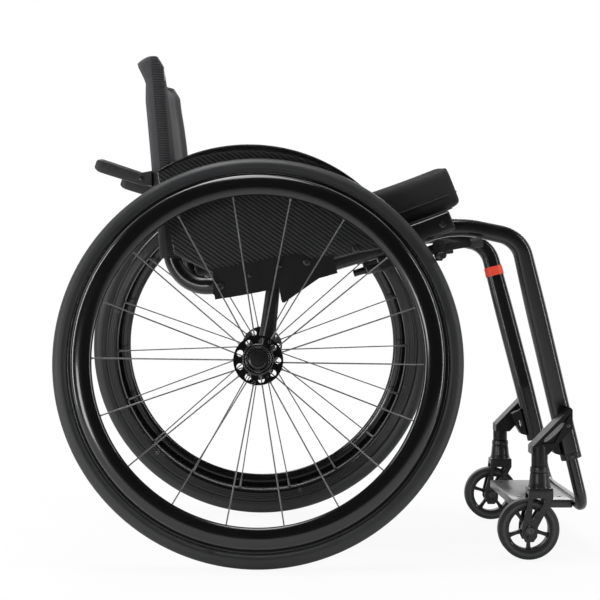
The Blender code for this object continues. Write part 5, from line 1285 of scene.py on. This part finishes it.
def filled(shape):
    """The shape's skin as cloth, blown up over twenty frames without gravity, with each point's way
    cut to the puff."""
    points, faces, uv = shape
    mesh = bpy.data.meshes.new("skin")
    mesh.from_pydata(points.tolist(), [], faces)
    soft = bpy.data.objects.new("skin", mesh)
    bpy.context.scene.collection.objects.link(soft)
    even = soft.modifiers.new("even", 'REMESH')
    even.mode = 'VOXEL'
    even.voxel_size = VOXEL
    graph = bpy.context.evaluated_depsgraph_get()
    soft.data = bpy.data.meshes.new_from_object(soft.evaluated_get(graph))
    soft.modifiers.remove(even)
    rest = np.empty(len(soft.data.vertices) * 3)
    soft.data.vertices.foreach_get("co", rest)
    cloth = soft.modifiers.new("cloth", 'CLOTH')
    cloth.settings.use_pressure = True
    cloth.settings.uniform_pressure_force = PRESSURE
    cloth.settings.effector_weights.gravity = 0.0
    cloth.point_cache.frame_start = 1
    cloth.point_cache.frame_end = CLOTH_FRAMES
    for count in range(1, CLOTH_FRAMES + 1):
        bpy.context.scene.frame_set(count)
    graph = bpy.context.evaluated_depsgraph_get()
    blown = soft.evaluated_get(graph).to_mesh()
    moved = np.empty_like(rest)
    blown.vertices.foreach_get("co", moved)
    way = (moved - rest).reshape(-1, 3)
    far = np.linalg.norm(way, axis=1, keepdims=True)
    way *= np.minimum(1, PUFF / np.maximum(far, 1e-9))
    soft.data.vertices.foreach_set("co", rest + way.ravel())
    bpy.context.scene.frame_set(1)
    mesh = soft.data
    bpy.data.objects.remove(soft, do_unlink=True)
    return mesh


t = np.concatenate([[0, 0.004, 0.012, 0.03, 0.06], np.linspace(0.1, 0.95, 30), [0.975, 0.99, 0.997, 1.0]])
t = t[:, None]
turn = np.linspace(0, 2 * math.pi, 72, endpoint=False)
a = np.sign(np.cos(turn)) * np.abs(np.cos(turn)) ** SIDE_POWER
h = 0.5 + 0.5 * np.sign(np.sin(turn)) * np.abs(np.sin(turn)) ** TOP_POWER
body = grid(cushion_spot(t, a + 0 * t, h + 0 * t, SHRINK), ring=True, ends=True)
skin = filled(body)
cushion = dressed("cushion", skin, "frame", cushion_look, "seat_cushion", sharp=180)
finish = cushion.modifiers.new("smooth", 'SUBSURF')
finish.levels = finish.render_levels = 1

tree = mathutils.bvhtree.BVHTree.FromPolygons([vert.co for vert in skin.vertices],
                                              [face.vertices[:] for face in skin.polygons])
t = np.concatenate([np.linspace(0.02, 0.98, 90), np.full(60, 1.0), np.linspace(0.98, 0.02, 90),
                    np.zeros(60)])
a = np.concatenate([np.ones(90), np.linspace(0.96, -0.96, 60), -np.ones(90), np.linspace(-0.96, 0.96, 60)])
ring = np.array([tree.find_nearest(spot)[0] for spot in cushion_spot(t, a, np.full_like(t, PIPING_AT))])
smooth = sum(np.roll(ring, shift, 0) for shift in (2, 1, 0, -1, -2)) / 5
cord = oval(PIPING_WIDE, PIPING_WIDE, 10)
rounds = stations(np.concatenate([smooth[-1:], smooth, smooth[:1]]), cord, up=(0, 0, 1))
piece("cushion_piping", grid(rounds[1:-1], ring=True, loop=True), "frame", tape_look)


# Castor arms and forks
# A forged arm reaches from each tube's foot to a steering head with two bearings.  A pale metal
# panel in the recess of its outer face is a painted highlight, standing for the bright reflection there.
# The satin black fork below it has a flared cup, a crown and two legs with three-cornered windows.

STEER_X, STEER_Y = 0.4125, 0.200
TRAIL = 0.0165
CASTOR_R = 0.045
CUP_TOP = 0.1275
CUP_FOOT = 0.1045
BEARING_BORE_R, BEARING_TALL = 0.0054, 0.0088
HEAD_FOOT = 0.1366
HEAD_TOP = 0.1668
HEAD_R = 0.0119
ARM_FACE = 0.2075
LEG_OUTER = 0.017
HIGHLIGHT_PANEL_MIDDLE = np.array([0.4333, 0.1868])
HIGHLIGHT_PANEL_HALF = np.array([0.0148, 0.0139])
HIGHLIGHT_PANEL_WIDE = np.array([-0.0026, 0.0028])
STEM_BORE_R = 0.0056
ARM_SCREW_AT = (0.4535, 0.1975)
CASTOR_BOLT_R = 0.0039
CASTOR_HEAD = (0.0065, 0.0022)

satin_look = gloss("fittings_satin_black", (0.008, 0.008, 0.009), 0.40, 0.15, peel=0.004, deep=0.00004,
                   specular_ior_level=0.45)
# Pale metal for the painted highlight in the arm's recess.
highlight_panel_look = mottled(Look("arm_inlay", (0.30, 0.30, 0.31), 0.36, 1.0), 0.004, (0.24, 0.24, 0.25),
                     (0.36, 0.36, 0.37), 0.001, 0.2, 0.26)


def upright(x, y):
    """A space at the chair's foot whose outward direction is up."""
    return (np.array([AXLE_X + x, y, 0.0]), *np.eye(3))


for word, side in SIDES:
    steer = upright(STEER_X, side * STEER_Y)
    head = ring_wall(STEM_BORE_R, HEAD_R, HEAD_FOOT, HEAD_TOP, [0.0002, 0.0008, 0.0012, 0.0002], 4)
    carved(f"castor_arm_body_{word}", f"castor_arm_{word}", "frame", forged_look,
           0.0012)
    piece(f"steering_head_{word}", turned(head, 72, steer), "frame", forged_look)
    cap = [(0.0100, HEAD_TOP - 0.0001), (0.0098, HEAD_TOP + 0.0008), (0.0080, HEAD_TOP + 0.0014),
           (0.0006, HEAD_TOP + 0.0016)]
    piece(f"head_cap_{word}", spun(cap, 48, steer), "frame", satin_look)
    screw = (AXLE_X + ARM_SCREW_AT[0], side * (ARM_FACE - 0.0002), ARM_SCREW_AT[1])
    screws(f"arm_screw_{word}", socket_screw(screw, (0, side, 0), *PIN_HEAD), "frame")
    # A pale panel in the recess of the arm's outer face: a painted highlight for the reflection there.
    turn = np.linspace(0, 2 * math.pi, 48, endpoint=False)
    along = np.sign(np.cos(turn)) * np.abs(np.cos(turn)) ** 0.8
    outline = HIGHLIGHT_PANEL_MIDDLE + along[:, None] * HIGHLIGHT_PANEL_HALF + np.sin(turn)[:, None] * HIGHLIGHT_PANEL_WIDE
    rows = np.stack([np.stack([AXLE_X + outline[:, 0], np.full(48, side * level), outline[:, 1]], -1)
                     for level in (ARM_FACE - 0.0045, ARM_FACE - 0.0030)])
    piece(f"arm_inlay_{word}", grid(rows, ring=True, ends=True), "frame", highlight_panel_look)
    bearing = rounded([(BEARING_BORE_R, CUP_TOP + CLEAR), (0.0130, CUP_TOP + CLEAR),
                       (0.0140, CUP_TOP + 0.0015), (0.0135, CUP_TOP + BEARING_TALL),
                       (BEARING_BORE_R, CUP_TOP + BEARING_TALL)], 0.0006, 3)
    piece(f"bearing_cover_{word}", turned(bearing, 72, steer), "frame", satin_look,
          f"castor_bearing_{word}")
    cup = rounded([(STEM_BORE_R, CUP_FOOT), (0.0169, CUP_FOOT), (0.0167, 0.1068), (0.0152, 0.1120),
                   (0.0143, 0.1215), (0.0137, CUP_TOP + 0.0001), (STEM_BORE_R, CUP_TOP + 0.0001)], 0.0008, 4)
    carved(f"fork_{word}", f"castor_fork_{word}", f"castor_swivel_{word}", satin_look,
           0.0008)
    piece(f"fork_cup_{word}", turned(cup, 72, steer), f"castor_swivel_{word}",
          satin_look)
    hub = np.array([AXLE_X + STEER_X - TRAIL, side * STEER_Y, CASTOR_R])
    out = np.array([0, LEG_OUTER + CLEAR, 0])
    bolt = plain_rod(hub - out, hub + out, CASTOR_BOLT_R, 32)
    heads = [socket_screw(hub + way * out, (0, way, 0), *CASTOR_HEAD) for way in (-1, 1)]
    piece(f"castor_bolt_{word}", bolt + heads, f"castor_swivel_{word}", steel_look,
          f"castor_axle_{word}", sharp=30)


# Castor wheels
# A moulded black centre with five waisted spokes turns on the bolt between two bearings, with a
# solid tyre of dark grey rubber moulded on, whose sides carry a paler ring.

BARREL_R = 0.0325
CASTOR_HUB_R = 0.0105
CASTOR_SPOKES = 5
TYRE_CORNER = 0.006
PALE_RING = ((0.0352, 0.0357), (0.0390, 0.0395))
BARREL_HALF = 0.0095
NAVE_HALF = 0.0115
NAVE_BORE_R = 0.0046

core_look = gloss("castor_core", (0.010, 0.010, 0.011), 0.40, 0.1, peel=0.004, specular_ior_level=0.4)
castor_look = rubber("castor_tyre", (0.016, 0.0165, 0.018), 0.48, specular_ior_level=0.4)
x, y, z = castor_look.axes()
x, z = x - (AXLE_X + STEER_X - TRAIL), z - CASTOR_R
radius = (x * x + z * z).reckon('SQRT')
ring = radius.step(*PALE_RING[0]) * (1.0 - radius.step(*PALE_RING[1]))
patches = castor_look.noise(0.02, 3.0)
dark = castor_look.mix(patches, (0.011, 0.0115, 0.012), (0.021, 0.0215, 0.023))
castor_look.set("Base Color", castor_look.mix(ring, dark, (0.045, 0.046, 0.049)))

for word, side in SIDES:
    centre = np.array([AXLE_X + STEER_X - TRAIL, side * STEER_Y, CASTOR_R])
    space = (centre, np.array([1.0, 0, 0]), np.array([0, 0, 1.0]), np.array([0, -1.0, 0]))
    barrel = rounded([(BARREL_R, -BARREL_HALF), (BARREL_R, BARREL_HALF), (BARREL_R - 0.0028, BARREL_HALF),
                      (BARREL_R - 0.0028, -BARREL_HALF)], 0.0006, 3)
    nave = ring_wall(NAVE_BORE_R, CASTOR_HUB_R, -NAVE_HALF, NAVE_HALF, 0.0010, 3)
    shapes = [turned(barrel, 96, space), turned(nave, 64, space)]
    reach = np.array([0.0090, 0.0110, 0.0135, 0.0170, 0.0210, 0.0250, 0.0280, 0.0300, 0.0310])
    wide = np.array([1.35, 1.20, 1.00, 0.86, 0.82, 0.88, 1.05, 1.30, 1.50])
    grow = np.stack([wide, np.ones_like(wide)], -1)
    section = round_box(0.0062, 0.0090, 0.0014, 4)
    for k in range(CASTOR_SPOKES):
        angle = math.radians(90 * side + 360 / CASTOR_SPOKES * k)
        way = np.array([math.cos(angle), 0, math.sin(angle)])
        rings = stations(centre + reach[:, None] * way, section, grow, up=(0, 1, 0))
        shapes.append(grid(rings, ring=True, ends=True))
    piece(f"castor_centre_{word}", shapes, f"castor_wheel_{word}", core_look,
          f"castor_rim_{word}", sharp=35)
    turn = np.radians(np.linspace(-88, 88, 41))
    crown = np.stack([CASTOR_R - TYRE_CORNER + TYRE_CORNER * np.cos(turn),
                      TYRE_CORNER * np.sign(turn) + TYRE_CORNER * np.sin(turn)], -1)
    outline = np.concatenate([[(BARREL_R + CLEAR, -0.0100)], crown, [(BARREL_R + CLEAR, 0.0100)]])
    piece(f"castor_tread_{word}", turned(outline, 128, space), f"castor_wheel_{word}",
          castor_look, f"castor_tyre_{word}", sharp=50)


# Footrest
# One bent aluminium tube slides in the two frame tubes and is held by a clamp ring at each end.
# Its cross bar carries a flat satin black footplate, held by four screws with low heads.

FOOT_INSERT = 0.050
FOOT_Z = 0.0705
FOOT_BEND = 0.024
CLAMP_TALL = 0.009
PLATE_WIDE, PLATE_LONG, PLATE_THICK = 0.244, 0.092, 0.0125
PLATE_SCREW_Y = 0.088
PLATE_SCREW_IN = 0.014
PLATE_SCREW = (0.0042, 0.0014)
COLLAR_SCREW = (0.0030, 0.0014)

plate_look = Look("footplate_black", (0.022, 0.022, 0.024), 0.34, coat_weight=0.2, coat_roughness=0.12)
worn = plate_look.noise(0.03, 4.0)
plate_look.set("Base Color", plate_look.mix(worn, (0.014, 0.014, 0.015), (0.040, 0.040, 0.043)))
plate_look.set("Roughness", worn * 0.2 + 0.24)
plate_look.bump(plate_look.noise(0.0009), 0.00004)

low_end = np.array([AXLE_X + TUBE_END[0], 0, TUBE_END[1]])
corner = low_end + SLIDE * ((FOOT_Z - TUBE_END[1]) / SLIDE[2])
top = low_end - SLIDE * FOOT_INSERT
left, right = np.array([0, TUBE_LOW_Y, 0]), np.array([0, -TUBE_LOW_Y, 0])
route = finer(bent([top + right, corner + right, corner + left, top + left], (FOOT_BEND, FOOT_BEND)), 0.012)
piece("foot_hoop", swept(route, oval(FOOT_WIDE, FOOT_DEEP, 32), up=AHEAD), "footrest",
      frame_look, "footrest_tube", sharp=50)
front = corner[0] - FOOT_DEEP / 2 - CLEAR
half = PLATE_WIDE / 2
y = np.array([-half, -half + 0.0006, -half + 0.002, half - 0.002, half - 0.0006, half])
middle = np.stack([np.full(6, front - PLATE_LONG / 2), y, np.full(6, FOOT_Z)], -1)
trim = np.array([0.0020, 0.0006, 0, 0, 0.0006, 0.0020])[:, None]
size = 1 - 2 * trim / np.array([PLATE_LONG, PLATE_THICK])
rings = stations(middle, round_box(PLATE_LONG, PLATE_THICK, 0.002, 5), size, up=(0, 0, 1))
piece("foot_plate", grid(rings, ring=True, ends=True), "footrest", plate_look,
      "footplate")
seat = FOOT_Z + PLATE_THICK / 2 - 0.0008
heads = [socket_screw((front - inset, side * PLATE_SCREW_Y, seat), (0, 0, 1), *PLATE_SCREW)
         for side in (-1, 1) for inset in (PLATE_SCREW_IN, PLATE_LONG - PLATE_SCREW_IN)]
screws("plate_screws", heads, "footrest")
for word, side in SIDES:
    start = low_end + np.array([0, side * TUBE_LOW_Y, 0]) + SLIDE * CLEAR
    stop = start + SLIDE * CLAMP_TALL
    outer = stations([start, stop], round_box(TUBE_WIDTH, TUBE_DEEP_LOW, TUBE_CORNER_R, 8))
    inner = stations([start, stop], round_box(FOOT_WIDE + SLIP, FOOT_DEEP + SLIP, 0.0083, 8))
    piece(f"foot_collar_{word}", grid(np.concatenate([outer, inner[::-1]]), ring=True, loop=True), "frame",
          satin_look, f"footrest_clamp_{word}", edge=0.0006, sharp=30)
    screw = (start + stop) / 2 + np.array([0, side * (TUBE_WIDTH / 2 - 0.0004), 0])
    screws(f"collar_screw_{word}", socket_screw(screw, (0, side, 0), *COLLAR_SCREW), "frame")


# Wheel locks
# Each lock's body is clamped under the rail.  A lever with a round grip turns on a rivet on its
# inner side and swings the arm on its outer side, whose knurled bar then bears on the tyre.

LEVER_REACH = 0.069
LEVER_PITCH = math.radians(7.5)
KNOB_R = 0.0075
BAR_LONG = 0.2564
SHOE_BAR = (0.264421, 0.445461)
SHOE_LONG = 0.046
KNURL_LONG, KNURL_PITCH = 0.044, 0.0022

grip_look = mottled(Look("lever_grip", (0.012, 0.012, 0.013), 0.55, specular_ior_level=0.4), 0.004,
                    (0.008, 0.008, 0.009), (0.020, 0.020, 0.021), 0.002, 0.2, 0.45)

for word, side in SIDES:
    for name, node, part in (("lock_body", "brake_body", "frame"),
                             ("lock_lever", "brake_lever", f"wheel_lock_lever_{word}"),
                             ("lock_arm", "brake_shoe", f"wheel_lock_shoe_{word}")):
        carved(f"{name}_{word}", f"{node}_{word}", part, satin_look, 0.0006)
    pivot = np.array(joints[f"wheel_lock_{word}_lever"]["pos_m"], float)
    along = np.array([math.cos(LEVER_PITCH), 0, math.sin(LEVER_PITCH)])
    line = pivot - np.array([0, side * 0.0035, 0])
    grip = [(0, 0, KNOB_R - 0.0008), (0, 0.0006, KNOB_R), (1, -0.0020, KNOB_R), (1, -0.0006, KNOB_R - 0.0008),
            (1, 0, KNOB_R - 0.0022)]
    start, stop = line + along * (LEVER_REACH - 0.014), line + along * (LEVER_REACH + 0.0042)
    piece(f"lever_grip_{word}", rods(start, stop, grip, 40), f"wheel_lock_lever_{word}",
          grip_look, sharp=50)
    bar = np.array([AXLE_X + SHOE_BAR[0], 0, SHOE_BAR[1]])
    run = np.arange(0, KNURL_LONG, KNURL_PITCH)
    tooth = ((0, -0.0003), (0.0004, 0.0001), (0.0016, 0.0001), (0.0020, -0.0003))
    knurl = [(0, begin + step, 0.005 + rise) for begin in run for step, rise in tooth]
    start, stop = (bar + np.array([0, side * y, 0]) for y in (BAR_LONG - SHOE_LONG, BAR_LONG))
    bars = rods(start, stop, knurl + [(1, -0.0008, 0.0049), (1, 0, 0.0042)], 40)
    piece(f"lock_bar_{word}", bars, f"wheel_lock_shoe_{word}", satin_look)


# Camera, floor and light
# A plain pale studio: a white floor and backdrop behind the chair and a dim room behind the camera,
# which the gloss shows.  One large soft light hangs overhead, a tall strip stands on each side, a
# wide one behind and a small low one beside the camera.

EYE = (AXLE_X + 0.027, -2.45, 0.395)
FOCAL_PIXELS = 1535
FRAME_PIXELS = 600
AIM_RIGHT = 22.7
AIM_DOWN = 9.5
SENSOR = 36.0
PALE = (0.86, 0.86, 0.86)
FLOOR_REACH = 12.0
FLOOR_LEVEL = -0.0005
FLOOR_GLOSS = 0.12
FADE_FROM, FADE_TO = 0.55, 1.5
ROOM_DIM = 0.30


def look_along(obj, way):
    """Turns a camera or light so that it points along a direction."""
    obj.rotation_mode = 'QUATERNION'
    obj.rotation_quaternion = mathutils.Vector(way).to_track_quat('-Z', 'Y')


lens = bpy.data.cameras.new("camera")
lens.sensor_width = SENSOR
lens.lens = SENSOR * FOCAL_PIXELS / FRAME_PIXELS
eye = bpy.data.objects.new("camera", lens)
eye.location = EYE
look_along(eye, (AIM_RIGHT / FOCAL_PIXELS, 1.0, -AIM_DOWN / FOCAL_PIXELS))
bpy.context.scene.collection.objects.link(eye)
bpy.context.scene.camera = eye


def soft_light(name, place, aim, wide, tall, watts):
    """A rectangular soft light at a place, aimed at a point."""
    lamp = bpy.data.lights.new(name, 'AREA')
    lamp.shape = 'RECTANGLE'
    lamp.size, lamp.size_y = wide, tall
    lamp.energy = watts
    made = bpy.data.objects.new(name, lamp)
    made.location = place
    look_along(made, np.array(aim, float) - np.array(place, float))
    made.visible_camera = False
    bpy.context.scene.collection.objects.link(made)


soft_light("overhead_light", (-0.35, -0.20, 2.3), (0, 0, 0.3), 1.9, 0.9, 34)
soft_light("left_strip", (-2.0, -1.0, 1.0), (0, 0, 0.9), 0.22, 2.0, 20)
soft_light("right_strip", (2.0, -1.1, 1.0), (0, 0, 0.9), 0.20, 2.0, 16)
soft_light("rear_strip", (0.2, 2.2, 1.4), (0, 0, 0.35), 2.4, 0.4, 18)
soft_light("low_fill", (-1.3, -2.3, 0.35), (0, 0, 0.45), 0.5, 0.5, 8)


def ray_kinds(look):
    """Whether a ray is the camera's own, comes off gloss or goes through a clear piece."""
    return [look.node("ShaderNodeLightPath", output=f"Is {kind} Ray")
            for kind in ("Camera", "Glossy", "Transmission")]


def pale_floor():
    """Pale matt floor that rays from the camera, gloss and clear pieces see nearly white, with the
    chair's shadow kept.  Its share of plain white grows to 1 away from the chair, so that it has no
    edge against the backdrop."""
    look = Look("pale_floor", PALE, 0.9)
    x, y, z = look.axes()
    away = (x * x + y * y).reckon('SQRT').step(FADE_FROM, FADE_TO)
    camera, gloss_ray, clear = ray_kinds(look)
    share = camera.reckon('MAXIMUM', clear).reckon('MAXIMUM', gloss_ray * FLOOR_GLOSS) * (away * 0.09 + 0.91)
    white = look.node("ShaderNodeEmission", {"Strength": 1.0})
    both = look.node("ShaderNodeMixShader", (share, Value(look, look.shader.outputs[0]), white))
    look.tree.links.new(both.socket, look.tree.nodes["Material Output"].inputs["Surface"])
    return look.material


mesh = bpy.data.meshes.new("floor")
corners = [(FLOOR_REACH * x, FLOOR_REACH * y, FLOOR_LEVEL) for x, y in ((-1, -1), (1, -1), (1, 1), (-1, 1))]
mesh.from_pydata(corners, [], [(0, 1, 2, 3)])
mesh.materials.append(pale_floor())
floor = bpy.data.objects.new("floor", mesh)
bpy.context.scene.collection.objects.link(floor)
floor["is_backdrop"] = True


class Surroundings(Look):
    """The world's own nodes, put together in the same way."""

    def __init__(self, name):
        world = bpy.data.worlds.new(name)
        world.use_nodes = True
        bpy.context.scene.world = world
        self.tree = world.node_tree


room = Surroundings("studio")
camera, gloss_ray, clear = ray_kinds(room)
way = room.node("ShaderNodeTexCoord", output="Generated")
backdrop = room.node("ShaderNodeSeparateXYZ", (way,), output=1).step(-0.05, 0.55)
white = camera.reckon('MAXIMUM', clear).reckon('MAXIMUM', gloss_ray * (backdrop * 0.96 + 0.04))
dim = (1.0 - gloss_ray) * ROOM_DIM
sky = room.node("ShaderNodeBackground", {"Color": (1, 1, 1, 1), "Strength": white.reckon('MAXIMUM', dim)})
room.tree.links.new(sky.socket, room.tree.nodes["World Output"].inputs["Surface"])
bpy.context.scene.view_settings.view_transform = 'Standard'


# Sizes: the bounds of the shown pieces, the backdrop left out
low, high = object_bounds()
